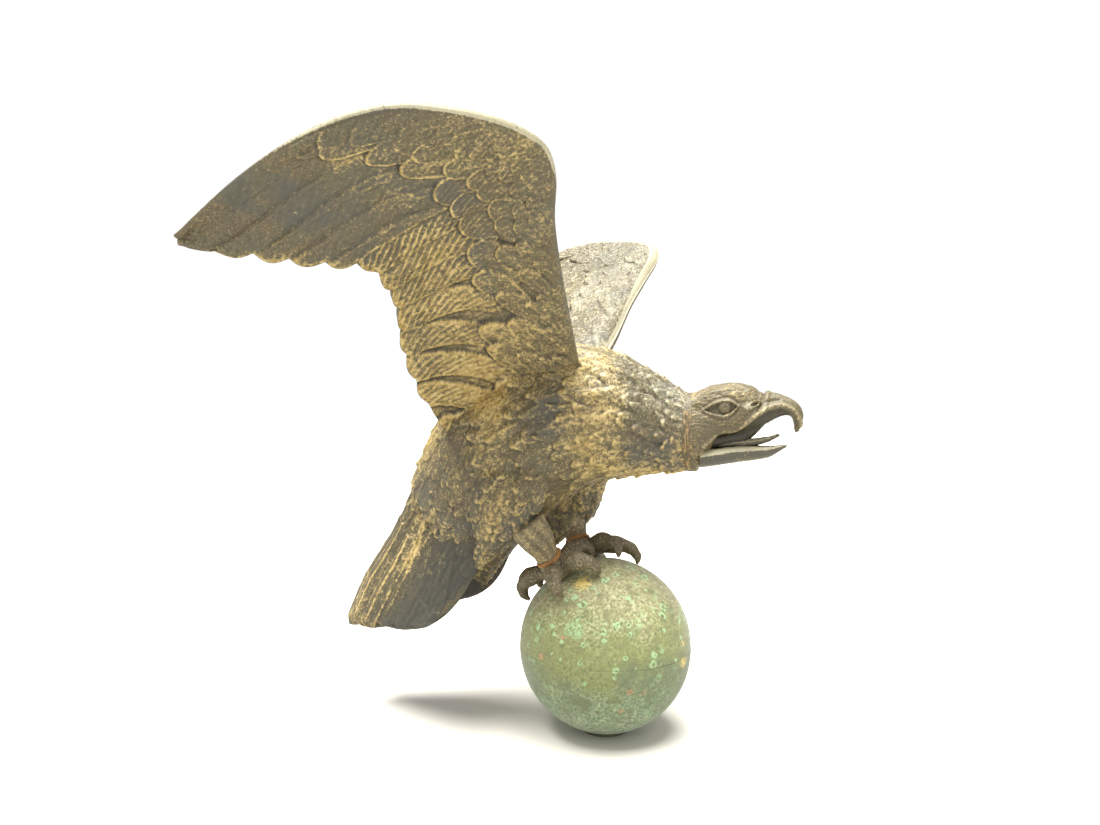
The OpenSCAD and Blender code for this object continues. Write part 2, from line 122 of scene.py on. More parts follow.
def layeredNoise(points, cell, seed, layers=3):
    return sum(latticeNoise(points, cell / 2**k, seed + k) / 2**k for k in range(layers)) / 1.6


def strokes(points, way, length, width, seed):
    # short strokes that all run one way
    way = unit(np.array(way, float))
    along = points @ way
    rest = points - along[:, None] * way
    return layeredNoise(rest / width + (along / length)[:, None] * way, 1.0, seed, 2)


# meshes
def vertexNormals(verts, faces):
    normals = np.zeros((len(verts), 3))
    a, b, c, d = (verts[faces[:, k]] for k in range(4))
    n = np.cross(c - a, d - b)
    for axis in range(3):
        for k in range(4):
            normals[:, axis] += np.bincount(faces[:, k], n[:, axis], len(verts))
    return unit(normals)


def faceEdges(faces):
    return np.concatenate([faces[:, [0, 1]], faces[:, [1, 2]], faces[:, [2, 3]], faces[:, [3, 0]]])


def relax(values, edges, times, amount=0.5):
    # averages each value with its neighbours
    values = np.array(values, float)
    size = len(values)
    count = np.maximum(np.bincount(edges.ravel(), minlength=size), 1)
    for _ in range(times):
        for column in values.reshape(size, -1).T:
            around = np.bincount(edges[:, 0], column[edges[:, 1]], size)
            around += np.bincount(edges[:, 1], column[edges[:, 0]], size)
            column += amount * (around / count - column)
    return values


def gridFaces(rows, columns, wrap=False, start=0):
    j, i = grid(np.arange(rows - 1), np.arange(columns if wrap else columns - 1))
    k = (i + 1) % columns
    quads = np.stack([j * columns + i, (j + 1) * columns + i, (j + 1) * columns + k, j * columns + k], -1)
    return quads.reshape(-1, 4) + start


def linkObject(name, data):
    item = bpy.data.objects.new(name, data)
    bpy.context.scene.collection.objects.link(item)
    return item


def newPiece(name, verts, faces, values, material, body, nodes):
    # one piece of the object, held inside the CAD's box, with its masks as attributes of the mesh
    mesh = bpy.data.meshes.new(name)
    verts = np.clip(np.asarray(verts) * mm, np.array(cadBox[0]) + insideBox, np.array(cadBox[1]) - insideBox)
    mesh.from_pydata(verts.tolist(), [], [list(map(int, f)) for f in faces])
    for key, value in values.items():
        data = np.zeros(len(verts), np.float32)
        data[: len(value)] = np.clip(value, 0, 1)
        mesh.attributes.new(key, "FLOAT", "POINT").data.foreach_set("value", data)
    mesh.polygons.foreach_set("use_smooth", np.ones(len(mesh.polygons), bool))
    mesh.update()
    piece = linkObject(name, mesh)
    mesh.materials.append(material)
    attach(piece, body)
    if nodes:
        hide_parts(*nodes)
    return piece


def fuse(shells, voxel, times):
    # joins closed shells of (verts, faces) into one even skin, softened where they meet;
    # gives its points, faces, outward normals and edges
    verts, faces, start = [], [], 0
    for v, f in shells:
        verts.append(v)
        faces += [[int(i) + start for i in face] for face in f]
        start += len(v)
    mesh = bpy.data.meshes.new("fusing")
    mesh.from_pydata((np.concatenate(verts) * mm).tolist(), [], faces)
    piece = linkObject("fusing", mesh)
    change = piece.modifiers.new("even", "REMESH")
    change.mode = "VOXEL"
    change.voxel_size = voxel * mm
    bpy.context.view_layer.update()
    made = piece.evaluated_get(bpy.context.evaluated_depsgraph_get()).to_mesh()
    out = np.empty(len(made.vertices) * 3)
    made.vertices.foreach_get("co", out)
    quads = np.empty(len(made.loops), np.int32)
    made.loops.foreach_get("vertex_index", quads)
    piece.to_mesh_clear()
    bpy.data.objects.remove(piece)
    bpy.data.meshes.remove(mesh)
    quads = quads.reshape(-1, 4)
    points = relax(out.reshape(-1, 3) / mm, faceEdges(quads), times)
    normals = vertexNormals(points, quads)
    if ((points - points.mean(0)) * normals).sum() < 0:
        quads, normals = quads[:, ::-1], -normals
    return points, quads, normals, faceEdges(quads)


def closedTube(rings):
    # closed skin over rings of points, with a fan at each end
    rings = np.asarray(rings)
    rows, columns = rings.shape[:2]
    verts = np.concatenate([rings.reshape(-1, 3), [rings[0].mean(0)], [rings[-1].mean(0)]])
    faces = gridFaces(rows, columns, True).tolist()
    first, last = rows * columns, rows * columns + 1
    for i in range(columns):
        k = (i + 1) % columns
        faces.append([first, i, k])
        faces.append([last, (rows - 1) * columns + k, (rows - 1) * columns + i])
    return verts, faces


def roundTube(path, radii, sides=20):
    # tube of changing radius round a path of points
    path = np.asarray(path, float)
    ahead = unit(np.gradient(path, axis=0))
    side = unit(np.cross(ahead[0], [0.3, 0.2, 1]))
    w = turn(sides)[:, None]
    rings = []
    for p, a, r in zip(path, ahead, radii):
        side = unit(side - a * np.dot(side, a))
        rings.append(p + r * (np.cos(w) * side + np.sin(w) * np.cross(a, side)))
    return closedTube(rings)


def closeSkin(skin, inner, faces, few, rimsTurn):
    # closes a skin with a plain inner face of few rows, and with rims between the two
    rows, columns = inner.shape[:2]
    keep = np.unique(np.linspace(0, rows - 1, few).astype(int))
    count = len(skin)
    flipped = faces[0, 1] != gridFaces(2, columns)[0, 1]
    innerFaces = gridFaces(len(keep), columns, False, count)
    if not flipped:
        innerFaces = innerFaces[:, ::-1]
    top = np.arange(columns)
    low, innerLow = top + (rows - 1) * columns, top + count + (len(keep) - 1) * columns
    rims = list(np.stack([top[:-1], top[1:], top[1:] + count, top[:-1] + count], 1))
    rims += list(np.stack([low[1:], low[:-1], innerLow[:-1], innerLow[1:]], 1))
    for column in (0, columns - 1):
        loop = [r * columns + column for r in range(rows)]
        loop += [count + r * columns + column for r in range(len(keep))][::-1]
        rims.append(loop if column == 0 else loop[::-1])
    if flipped and rimsTurn:
        rims = [face[::-1] for face in rims]
    return np.concatenate([skin, inner[keep].reshape(-1, 3)]), list(faces) + list(innerFaces) + rims


def shadeMasks(relief, edges, times, gain):
    # where the relief stands over its surroundings, and where it lies below them; the materials darken the low
    # places as patina and as painted shade
    change = relief - relax(relief, edges, times)
    return {"raised": np.clip(change * gain, 0, 1), "hollow": np.clip(-change * gain, 0, 1)}


def sided(hand, word):
    return ("right" if hand < 0 else "left") + word


# feathers laid over a surface, each over the ones before it; gives their height and their gilded lines
def layFeathers(points, normals, feathers):
    height = np.zeros(len(points))
    line = np.zeros(len(points))
    for f in feathers:
        axis, half = f["axis"], f["half"]
        reach = half * 1.3 + f.get("deep", 4)
        near = np.where(((points > axis.min(0) - reach) & (points < axis.max(0) + reach)).all(1))[0]
        if not len(near):
            continue
        p, n = points[near], normals[near]
        best = np.full(len(near), 1e9)
        along, across = np.zeros(len(near)), np.zeros(len(near))
        spans = np.linalg.norm(np.diff(axis, axis=0), axis=1)
        length = max(spans.sum(), 1e-6)
        gone = 0.0
        for a, b, span in zip(axis[:-1], axis[1:], spans):
            d = (b - a) / max(span, 1e-6)
            rel = p - a
            t = np.clip(rel @ d, 0, span)
            off = rel - t[:, None] * d
            off = off - (off * n).sum(1)[:, None] * n
            dist = np.linalg.norm(off, axis=1)
            sign = np.sign((np.cross(n, d) * off).sum(1))
            closer = dist < best
            best = np.where(closer, dist, best)
            along = np.where(closer, (gone + t) / length, along)
            across = np.where(closer, dist * sign, across)
            gone += span
        tip, root = f.get("tip", 0.7), f.get("root", 0.7)
        wide = half * (root + (1 - root) * np.minimum(along / tip, 1))
        wide = wide * np.sqrt(np.clip(1 - (np.clip(along - tip, 0, 1) / (1 - tip)) ** f.get("blunt", 2), 0, 1))
        inside = (np.abs(across) < wide) & (best < half * 1.2)
        if not inside.any():
            continue
        k = near[inside]
        s, c, w = along[inside], across[inside], wide[inside]
        edgeGap = np.minimum((w - np.abs(c)), (1 - s) * length * 0.6)
        rim = bell(edgeGap / f["rimWidth"])
        shaft = bell(c / f["shaftWidth"]) * step(1, 0.85, s)
        wave = (s * length + f["slope"] * c) / f["pitch"] + f.get("phase", 0)
        barb = (0.5 + 0.5 * np.sin(2 * math.pi * wave)) ** 2.6 * step(0, half * 0.3, edgeGap)
        height[k] = (
            f["lift"] * (0.1 + 0.9 * s ** f.get("rise", 1))
            + f["crown"] * (1 - (c / np.maximum(w, 0.1)) ** 2)
            + f["rim"] * rim
            + f["shaft"] * shaft
            + f["barb"] * barb
        )
        line[k] = np.maximum.reduce([rim * f["rimGold"], shaft * f["shaftGold"], barb * f["barbGold"]])
    return height, line


# materials
def nodeTools(tree):
    # makers of one tree's nodes: add gives the node, the others give its result
    def add(kind, values=None, **settings):
        node = tree.nodes.new(kind)
        for key, value in settings.items():
            setattr(node, key, value)
        for key, value in (values or {}).items():
            if isinstance(value, bpy.types.NodeSocket):
                tree.links.new(value, node.inputs[key])
            else:
                node.inputs[key].default_value = value
        return node

    def maths(operation):
        def result(a, b, clamp=False):
            return add("ShaderNodeMath", {0: a, 1: b}, operation=operation, use_clamp=clamp).outputs[0]

        return result

    def smooth(value, low, high):
        values = {"Value": value, "From Min": low, "From Max": high}
        return add("ShaderNodeMapRange", values, interpolation_type="SMOOTHSTEP").outputs["Result"]

    def blend(factor, a, b, mode="MIX"):
        return add("ShaderNodeMix", {0: factor, 6: a, 7: b}, data_type="RGBA", blend_type=mode).outputs[2]

    return add, maths("MULTIPLY"), maths("ADD"), maths("SUBTRACT"), smooth, blend


def newMaterial(name):
    material = bpy.data.materials.new(name)
    material.use_nodes = True
    material.node_tree.nodes.clear()
    return material, nodeTools(material.node_tree)


def colour(r, g, b):
    # from the eye's 0-255 values to the renderer's
    return tuple((c / 255 / 12.92 if c < 10.3 else ((c / 255 + 0.055) / 1.055) ** 2.4) for c in (r, g, b)) + (1,)


# the group that wears every metal: fine speckle, larger patches, grain and streaks,
# each with its scale, detail, roughness and distortion
wear = {"Speckle": (620.0, 4.0, 0.68, 0.0), "Patches": (46.0, 5.0, 0.62, 0.5),
        "Grain": (1500.0, 2.0, 0.6, 0.0), "Streaks": (190.0, 4.0, 0.6, 1.2)}
speckGroup = bpy.data.node_groups.new("wornSpeckle", "ShaderNodeTree")
speckGroup.interface.new_socket("Seed", in_out="INPUT", socket_type="NodeSocketFloat")
for title in wear:
    speckGroup.interface.new_socket(title, in_out="OUTPUT", socket_type="NodeSocketFloat")
add = nodeTools(speckGroup)[0]
seedSocket = add("NodeGroupInput").outputs["Seed"]
place = add("ShaderNodeTexCoord").outputs["Object"]
place = add("ShaderNodeVectorMath", {0: place, 1: seedSocket}, operation="ADD").outputs[0]
wornOut = add("NodeGroupOutput")
for title, (scale, detail, roughness, distortion) in wear.items():
    noise = add("ShaderNodeTexNoise", {"Vector": place, "Scale": scale, "Detail": detail, "Roughness": roughness,
                                       "Distortion": distortion})
    speckGroup.links.new(noise.outputs["Fac"], wornOut.inputs[title])


def gildedMetal(name, settings):
    # dark patinated cast metal with worn gilding on its raised lines; its hollows are darkened as patina and as
    # painted shade, and its ridges and pale marks are lightened partly as painted highlight
    material, (add, times, plus, minus, smooth, blend) = newMaterial(name)
    worn = add("ShaderNodeGroup", {"Seed": settings["seed"]}, node_tree=speckGroup)
    speckle, patch, grainy, streak = (worn.outputs[title] for title in wear)
    mask = {key: add("ShaderNodeAttribute", attribute_name=key).outputs["Fac"]
            for key in ("gilt", "line", "raised", "hollow", "paleAndHighlight", "slateAndShade")}
    dark = blend(smooth(patch, 0.36, 0.62), settings["dark"], settings["olive"])
    dark = blend(smooth(streak, 0.54, 0.72), dark, settings["rust"])
    dark = blend(smooth(speckle, 0.52, 0.66), dark, settings["dustAndHighlight"])
    dark = blend(smooth(grainy, 0.5, 0.3), dark, settings["deep"])
    dark = blend(smooth(grainy, 0.58, 0.74), dark, settings["dustAndHighlight"])
    slateAndShade = plus(mask["slateAndShade"], minus(patch, 0.5))
    dark = blend(smooth(slateAndShade, 0.1, 0.8), dark, settings["slateAndShade"])
    # raised relief takes the pale dust tone: painted highlight along the ridges
    dark = blend(times(mask["raised"], 0.45), dark, settings["dustAndHighlight"])
    # gold holds on the raised lines and in speckled patches
    amount = times(mask["line"], settings["lineGold"])
    amount = plus(amount, times(mask["raised"], settings["raisedGold"]))
    amount = plus(amount, times(mask["gilt"], settings["patchGold"]))
    broken = plus(plus(times(speckle, 1.1), times(streak, 0.9)), times(patch, 0.5))
    gold = smooth(plus(amount, minus(broken, 1.25)), 0.3, 0.84)
    gold = times(gold, minus(1.0, times(mask["hollow"], 0.85)))
    goldTone = blend(smooth(streak, 0.38, 0.62), settings["gold"], settings["paleGold"])
    base = blend(gold, dark, goldTone)
    # pale marks: painted highlight on rims, ridges and lit faces, mixed with real pale bloom from the speckle
    bloomAndHighlight = plus(times(mask["paleAndHighlight"], 0.75), minus(speckle, 0.5))
    bloomAndHighlight = times(smooth(plus(bloomAndHighlight, minus(streak, 0.5)), 0.24, 0.74), settings["bloomAndHighlightShare"])
    base = blend(bloomAndHighlight, base, settings["bloomAndHighlight"])
    # hollows darkened: partly the patina in them, partly painted shade
    base = blend(1.0, base, minus(1.0, times(mask["hollow"], settings["hollowDark"])), "MULTIPLY")
    rough = plus(plus(settings["rough"], times(grainy, 0.22)), times(gold, 0.06))
    pits = plus(plus(times(speckle, 0.7), times(grainy, 0.3)), times(streak, 0.8))
    bump = add("ShaderNodeBump", {"Height": pits, "Strength": settings["bump"], "Distance": 0.0009})
    shader = add("ShaderNodeBsdfPrincipled", {
        "Base Color": base, "Roughness": rough, "Metallic": times(gold, settings["goldMetal"]),
        "Normal": bump.outputs["Normal"], "Specular IOR Level": settings["specular"]})
    add("ShaderNodeOutputMaterial", {"Surface": shader.outputs[0]})
    return material


def plainMetal(name, settings):
    # bare metal with stains and spots
    material, (add, times, plus, minus, smooth, blend) = newMaterial(name)
    worn = add("ShaderNodeGroup", {"Seed": settings["seed"]}, node_tree=speckGroup)
    speckle, patch, grainy, streak = (worn.outputs[title] for title in wear)
    base = blend(smooth(patch, 0.42, 0.62), settings["metal"], settings["stain"])
    base = blend(smooth(speckle, 0.55, 0.7), base, settings["spot"])
    rough = plus(settings["rough"], times(streak, 0.3))
    bump = add("ShaderNodeBump", {"Height": grainy, "Strength": 0.3, "Distance": 0.0003})
    shader = add("ShaderNodeBsdfPrincipled", {
        "Base Color": base, "Roughness": rough, "Metallic": settings["metallic"],
        "Normal": bump.outputs["Normal"]})
    add("ShaderNodeOutputMaterial", {"Surface": shader.outputs[0]})
    return material


patina = {
    "seed": 0.0, "dark": colour(100, 90, 70), "olive": colour(98, 94, 70), "rust": colour(128, 102, 72),
    "dustAndHighlight": colour(146, 132, 100), "deep": colour(64, 57, 42), "slateAndShade": colour(88, 86, 76),
    "gold": colour(172, 146, 86), "paleGold": colour(206, 184, 128), "bloomAndHighlight": colour(206, 200, 172),
    "lineGold": 0.46, "raisedGold": 0.34, "patchGold": 0.68, "hollowDark": 0.72, "rough": 0.33,
    "goldMetal": 0.25, "bump": 0.7, "bloomAndHighlightShare": 0.8, "specular": 0.5,
}
wingMetal = gildedMetal("gildedWing", dict(patina, seed=0.3))
bodyMetal = gildedMetal("gildedBody", dict(patina, seed=1.7, bloomAndHighlightShare=0.6, patchGold=0.64))
headMetal = gildedMetal("headPatina", dict(
    patina, seed=2.4, lineGold=0.25, raisedGold=0.3, dark=colour(106, 98, 76), olive=colour(110, 103, 78),
    rust=colour(128, 110, 80), rough=0.32))
# the foot's lighter dust tone also paints highlights on top of the toes
footMetal = gildedMetal("footPatina", dict(
    patina, seed=4.1, lineGold=0.2, raisedGold=0.3, dark=colour(92, 83, 65), olive=colour(116, 106, 82),
    rust=colour(124, 98, 66), rough=0.4, dustAndHighlight=colour(180, 168, 136), deep=colour(60, 54, 42)))
# the tail's darker copy of the patina is painted shade
shadedTailMetal = gildedMetal("gildedTailShaded", dict(
    patina, seed=3.2, dark=colour(74, 69, 54), olive=colour(82, 78, 58), rust=colour(110, 86, 56),
    dustAndHighlight=colour(122, 110, 84), slateAndShade=colour(68, 67, 60)))
bandMetal = gildedMetal("neckSolder", dict(
    patina, seed=8.0, lineGold=0.6, gold=colour(180, 136, 82), paleGold=colour(184, 158, 104), patchGold=0.62))
print("metal materials made")

# wings
wingSet = {
    "leading": [
        [-14, -36, 320], [-8, -84, 350], [-3, -130, 384], [4, -172, 413], [12, -197, 436],
        [11, -212, 451], [2, -226, 458.5], [-14, -240, 464], [-37, -253, 468], [-66, -262, 470.5],
        [-98, -267, 466], [-132, -268, 455], [-165, -268, 439], [-196, -267, 420], [-223, -264, 400]],
    "trailing": [
        [-136, -30, 262], [-141, -58, 287], [-143, -78, 306], [-142, -98, 325], [-137, -119, 342],
        [-129, -139, 357], [-123, -159, 368], [-121, -177, 377], [-124, -194, 386], [-136, -205, 386],
        [-152, -218, 386], [-169, -231, 387], [-186, -243, 389], [-204, -254, 390], [-224, -263, 397]],
    "halfAt": [0, 0.11, 0.2, 0.36, 0.54, 0.72, 0.88, 1],
    "half": [1, 1, 0.86, 0.55, 0.38, 0.3, 0.28, 0.2],
    "thick": 8.5, "thin": 2.4, "camber": 9.0, "swell": 0.6, "scallops": 13, "scallopDepth": 5.0,
    "columns": 440, "rows": 210, "innerRows": 12,
    "covertLine": [[0, 0.45, 0.6, 0.66, 0.75, 0.82], [0.53, 0.5, 0.42, 0.35, 0.2, 0.1]],
    # each row's share of that line, feather length, spacing, half width and height
    "coverts": [[1.0, 0.31, 0.07, 14.5, 3.6], [0.7, 0.22, 0.056, 11.0, 2.8], [0.46, 0.16, 0.044, 8.0, 2.0],
                [0.29, 0.12, 0.036, 6.0, 1.2]],
}


def wingEdges(u):
    return between(wingSet["leading"], u), between(wingSet["trailing"], u)


def wingOut(u):
    lead, trail = wingEdges(u)
    low, high = np.maximum(u - 0.02, 0), np.minimum(u + 0.02, 1)
    (la, ta), (lb, tb) = wingEdges(low), wingEdges(high)
    return unit(np.cross(trail - lead, lb - la + tb - ta))


def wingMid(u, v):
    lead, trail = wingEdges(u)
    drop = np.abs(np.sin(math.pi * wingSet["scallops"] * u)) - 0.4
    reach = wingSet["scallopDepth"] * drop * np.minimum(1, 8 * u) * np.minimum(1, 5 * (1.04 - u))
    edge = trail + unit(trail - lead) * (reach * step(0.6, 1, v))[..., None]
    bow = wingSet["camber"] * np.sin(math.pi * np.maximum(v, 0) ** 0.8) * (1 - 0.5 * u)
    return lead + (edge - lead) * v[..., None] + wingOut(u) * bow[..., None]


def wingHalf(u, v):
    start = np.sqrt(np.clip(1 - (1 - np.minimum(v / 0.11, 1)) ** 2, 0, 1))
    half = wingSet["thick"] * ease(wingSet["halfAt"], wingSet["half"], v) * start
    half = half * (1 - 0.45 * u) * (1 + wingSet["swell"] * np.maximum(0, 1 - u / 0.3))
    least = np.where(v < 0.03, 0.35, wingSet["thin"] * (1 - 0.55 * step(0.9, 1, v)))
    return np.maximum(half, least * np.minimum(1, 0.15 + 12 * v))


def wingPoint(u, v, side):
    u, v = np.broadcast_arrays(np.asarray(u, float), np.asarray(v, float))
    return wingMid(u, v) + wingOut(u) * (side * wingHalf(u, v))[..., None]


def wingFeathers(side, seed):
    # rows from the trailing edge up to the leading edge, so that each row lies over the last
    rng = np.random.RandomState(seed)
    laid = []

    def feather(points, half, **more):
        uv = between(points, np.linspace(0, 1, 9))
        uv[:, 0] = np.clip(uv[:, 0], 0, 1)
        axis = wingPoint(uv[:, 0], np.clip(uv[:, 1], 0.01, 1.02), side)
        look = {"axis": axis, "half": half, "lift": 2.9, "crown": 1.1, "rim": 1.0, "rimWidth": 1.2,
                "shaft": 0.45, "shaftWidth": 0.9, "barb": 0.65, "pitch": 8.4, "slope": -1.25, "rimGold": 1.0,
                "shaftGold": 0.6, "barbGold": 0.75, "tip": 0.86, "root": 0.8, "phase": rng.rand()}
        look.update(more)
        laid.append(look)

    primaries = [
        [(0.40, 0.48), (0.51, 0.76), (0.64, 1.03)], [(0.42, 0.42), (0.56, 0.72), (0.715, 1.03)],
        [(0.44, 0.34), (0.62, 0.66), (0.79, 1.03)], [(0.46, 0.26), (0.68, 0.56), (0.865, 1.03)],
        [(0.48, 0.17), (0.74, 0.42), (0.935, 1.0)], [(0.50, 0.08), (0.78, 0.22), (1.0, 0.55)]]
    for points in primaries:
        feather(points, 15.5, barb=0.2, barbGold=0.15, shaft=0.5, shaftGold=0.15, rim=0.9, rimGold=0.7,
                pitch=9.0, slope=-1.5, lift=2.8, crown=1.6, blunt=3, tip=0.9)
    for tip in (0.565, 0.495, 0.42, 0.345, 0.27, 0.195, 0.115, 0.035, -0.04):
        feather([(tip - 0.17, 0.42), (tip - 0.075, 0.74), (tip, 1.03)], 14.5, blunt=3, tip=0.9,
                slope=-1.25 - 0.5 * max(tip - 0.25, 0), pitch=rng.uniform(7.2, 8.6),
                barb=rng.uniform(0.5, 0.95), barbGold=rng.uniform(0.5, 1.0), rimGold=1.3, rim=1.3)
    # coverts: their tips stand on a line that runs from mid wing out to the leading edge
    for share, length, space, half, lift in wingSet["coverts"]:
        for tip in np.arange(0.8, -0.06, -space):
            tip = tip + rng.uniform(-0.3, 0.3) * space
            end = np.interp(tip, *wingSet["covertLine"]) * share + rng.uniform(-0.02, 0.02)
            if end < 0.075:
                continue
            back = float(np.interp(tip, [0, 0.4, 0.6, 0.8], [0.09, 0.11, 0.17, 0.2])) * length / 0.31
            feather([(tip - back, end - length * 0.8), (tip - back * 0.45, end - length * 0.42), (tip, end)],
                    half * (1 - 0.25 * max(tip, 0)) * rng.uniform(0.88, 1.12), lift=lift,
                    crown=0.3 + 0.05 * half, rim=0.4 + 0.06 * half, rimWidth=1.3, barb=0.4, pitch=6.0,
                    slope=-1.3, shaft=0.3, blunt=1.7, rise=2.2, tip=0.6, rimGold=0.4 + 0.6 * (half > 8),
                    barbGold=0.35, shaftGold=0.4)
    return laid


def makeWing(name, side, hand, nodes, seed):
    # side is -1 for the skin under the wing and 1 for the one over it; hand is -1 for the right wing
    under = side < 0
    v = np.linspace(0, 1, wingSet["rows"])
    vv, uu = grid(0.35 * v**2.2 + 0.65 * v, np.linspace(0, 1, wingSet["columns"]))
    ug, vg = uu.ravel(), vv.ravel()
    base = wingPoint(uu, vv, side).reshape(-1, 3)
    faces = gridFaces(*uu.shape)
    normals = vertexNormals(base, faces)
    if (normals * wingOut(ug) * side).sum() < 0:
        faces, normals = faces[:, ::-1], -normals
    height, line = layFeathers(base, normals, wingFeathers(side, seed))
    edges = faceEdges(faces)
    height = relax(height, edges, 2)
    fade = step(0.0, 0.1, vg) * step(0, 0.03, 1 - vg + 0.02)
    rough = layeredNoise(base, 9, seed + 5) * 0.5 + layeredNoise(base, 3, seed + 9, 2) * 0.3
    rough += 0.4 * strokes(base, (-1, 0, -0.25), 12, 2.6, seed + 15)
    relief = (height - 1.4) * fade + rough * fade
    # the rolled rim along the top of the leading edge, parted from the feathers by a crease; the rim is painted pale
    # as a highlight and the crease painted dark as shade
    fromEdge = np.linalg.norm(base - wingEdges(ug)[0], axis=1)
    rolled = step(0.22, 0.34, ug) * step(0.95, 0.7, ug) if under else np.ones(len(base))
    width = 2.0 + 2.6 * rolled if under else 7 + 6 * step(0.1, 0.28, ug)
    relief = relief * (1 - rolled * step(width + 2, width, fromEdge))
    crease = rolled * bell((fromEdge - width) / 0.9) * fade
    relief -= (1.3 if under else 0.8) * crease
    paleAndHighlight = rolled * step(width - 0.3, width - 1.6, fromEdge) * (0.95 if under else 0.6)
    skin = base + normals * relief[:, None]
    masks = shadeMasks(relief, edges, 16, 1.3)
    masks["hollow"] = np.maximum(masks["hollow"], crease * (0.9 if under else 0.4))
    line = relax(line, edges, 1) * (1 - 0.8 * rolled * step(width + 1, width - 1, fromEdge))
    line *= np.clip(0.8 + 0.8 * layeredNoise(base, 16, seed + 17), 0.3, 1) * (1.0 if under else 0.45)
    # the inner face lies a little off the middle of the wing
    inner = wingMid(uu, vv) + wingOut(uu) * (side * 0.1)
    verts, allFaces = closeSkin(skin, inner, faces, wingSet["innerRows"], False)
    if hand > 0:
        verts = verts * [1, -1, 1]
        allFaces = [f[::-1] for f in allFaces]
    # gilding: strong over the inner flight feathers, thin towards the tip
    gilt = 0.37 + 0.28 * step(0.6, 0.4, ug) * step(0.35, 0.6, vg) + 0.15 * step(0.3, 0.1, ug)
    gilt += 0.5 * step(0.93, 1.0, vg) - 0.2 * step(0.55, 0.75, ug)
    gilt += 0.35 * bell((ug - 0.78) / 0.1) * step(0.8, 0.97, vg)
    gilt += 0.4 * bell((ug - 0.7) / 0.05) * bell((vg - 0.27) / 0.07)
    # the skin over the wing gets less gold, a paler tone and flatter lines: painted light on the lit face
    gilt += 0.3 * layeredNoise(base, 45, seed + 3) - (0 if under else 0.3)
    slateAndShade = 0.2 + 0.2 * step(0.45, 0.7, ug) + 0.8 * layeredNoise(base, 30, seed + 8)
    paleAndHighlight += 0 if under else 0.46
    masks["raised"] *= 1.0 if under else 0.5
    values = dict(masks, gilt=gilt, line=line, slateAndShade=slateAndShade, paleAndHighlight=paleAndHighlight + 0.15 * layeredNoise(base, 20, seed + 4))
    newPiece(name, verts, allFaces, values, wingMetal, "vane", nodes)


makeWing("rightWingUnder", -1, -1, ["right_wing_outer"], 11)
makeWing("rightWingOver", 1, -1, ["right_wing_inner"], 12)
makeWing("leftWingUnder", -1, 1, ["left_wing_outer"], 13)
makeWing("leftWingOver", 1, 1, ["left_wing_inner"], 14)
print("wings made")

# tail
tailSet = {
    "ridge": [[-166, 240], [-177, 214], [-188, 190], [-200, 166], [-215, 143], [-231, 119], [-251, 76]],
    "edge": [[-94, 168], [-99, 154], [-104, 141], [-110, 129], [-118, 116], [-130, 103], [-146, 92]],
    "thick": 5.0, "rootHalf": 36.0, "endHalf": 58.0, "feathers": 3, "rows": 240, "columns": 260,
    "innerRows": 10,
}


def tailMid(t, v):
    ridge, edge, a = between(tailSet["ridge"], t), between(tailSet["edge"], t), np.abs(v)
    w = (a**1.45)[..., None]
    end = 0.035 * (np.abs(np.sin(math.pi * tailSet["feathers"] * a)) - 0.5) * step(0.8, 1, t)
    wide = tailSet["rootHalf"] + (tailSet["endHalf"] - tailSet["rootHalf"]) * t**0.8
    xz = ridge + (edge - ridge) * w
    point = np.stack([xz[..., 0], np.sign(v) * wide * a**0.8, xz[..., 1]], -1)
    return point + end[..., None] * np.array([-24, 0, -66])


def tailHalf(t, v):
    half = tailSet["thick"] * (1 - 0.45 * t) * (1 - 0.5 * np.abs(v) ** 3)
    return np.maximum(half, 1.2) * (1 - 0.5 * step(0.95, 1, t)) * (1 - 0.6 * step(0.95, 1, np.abs(v)))


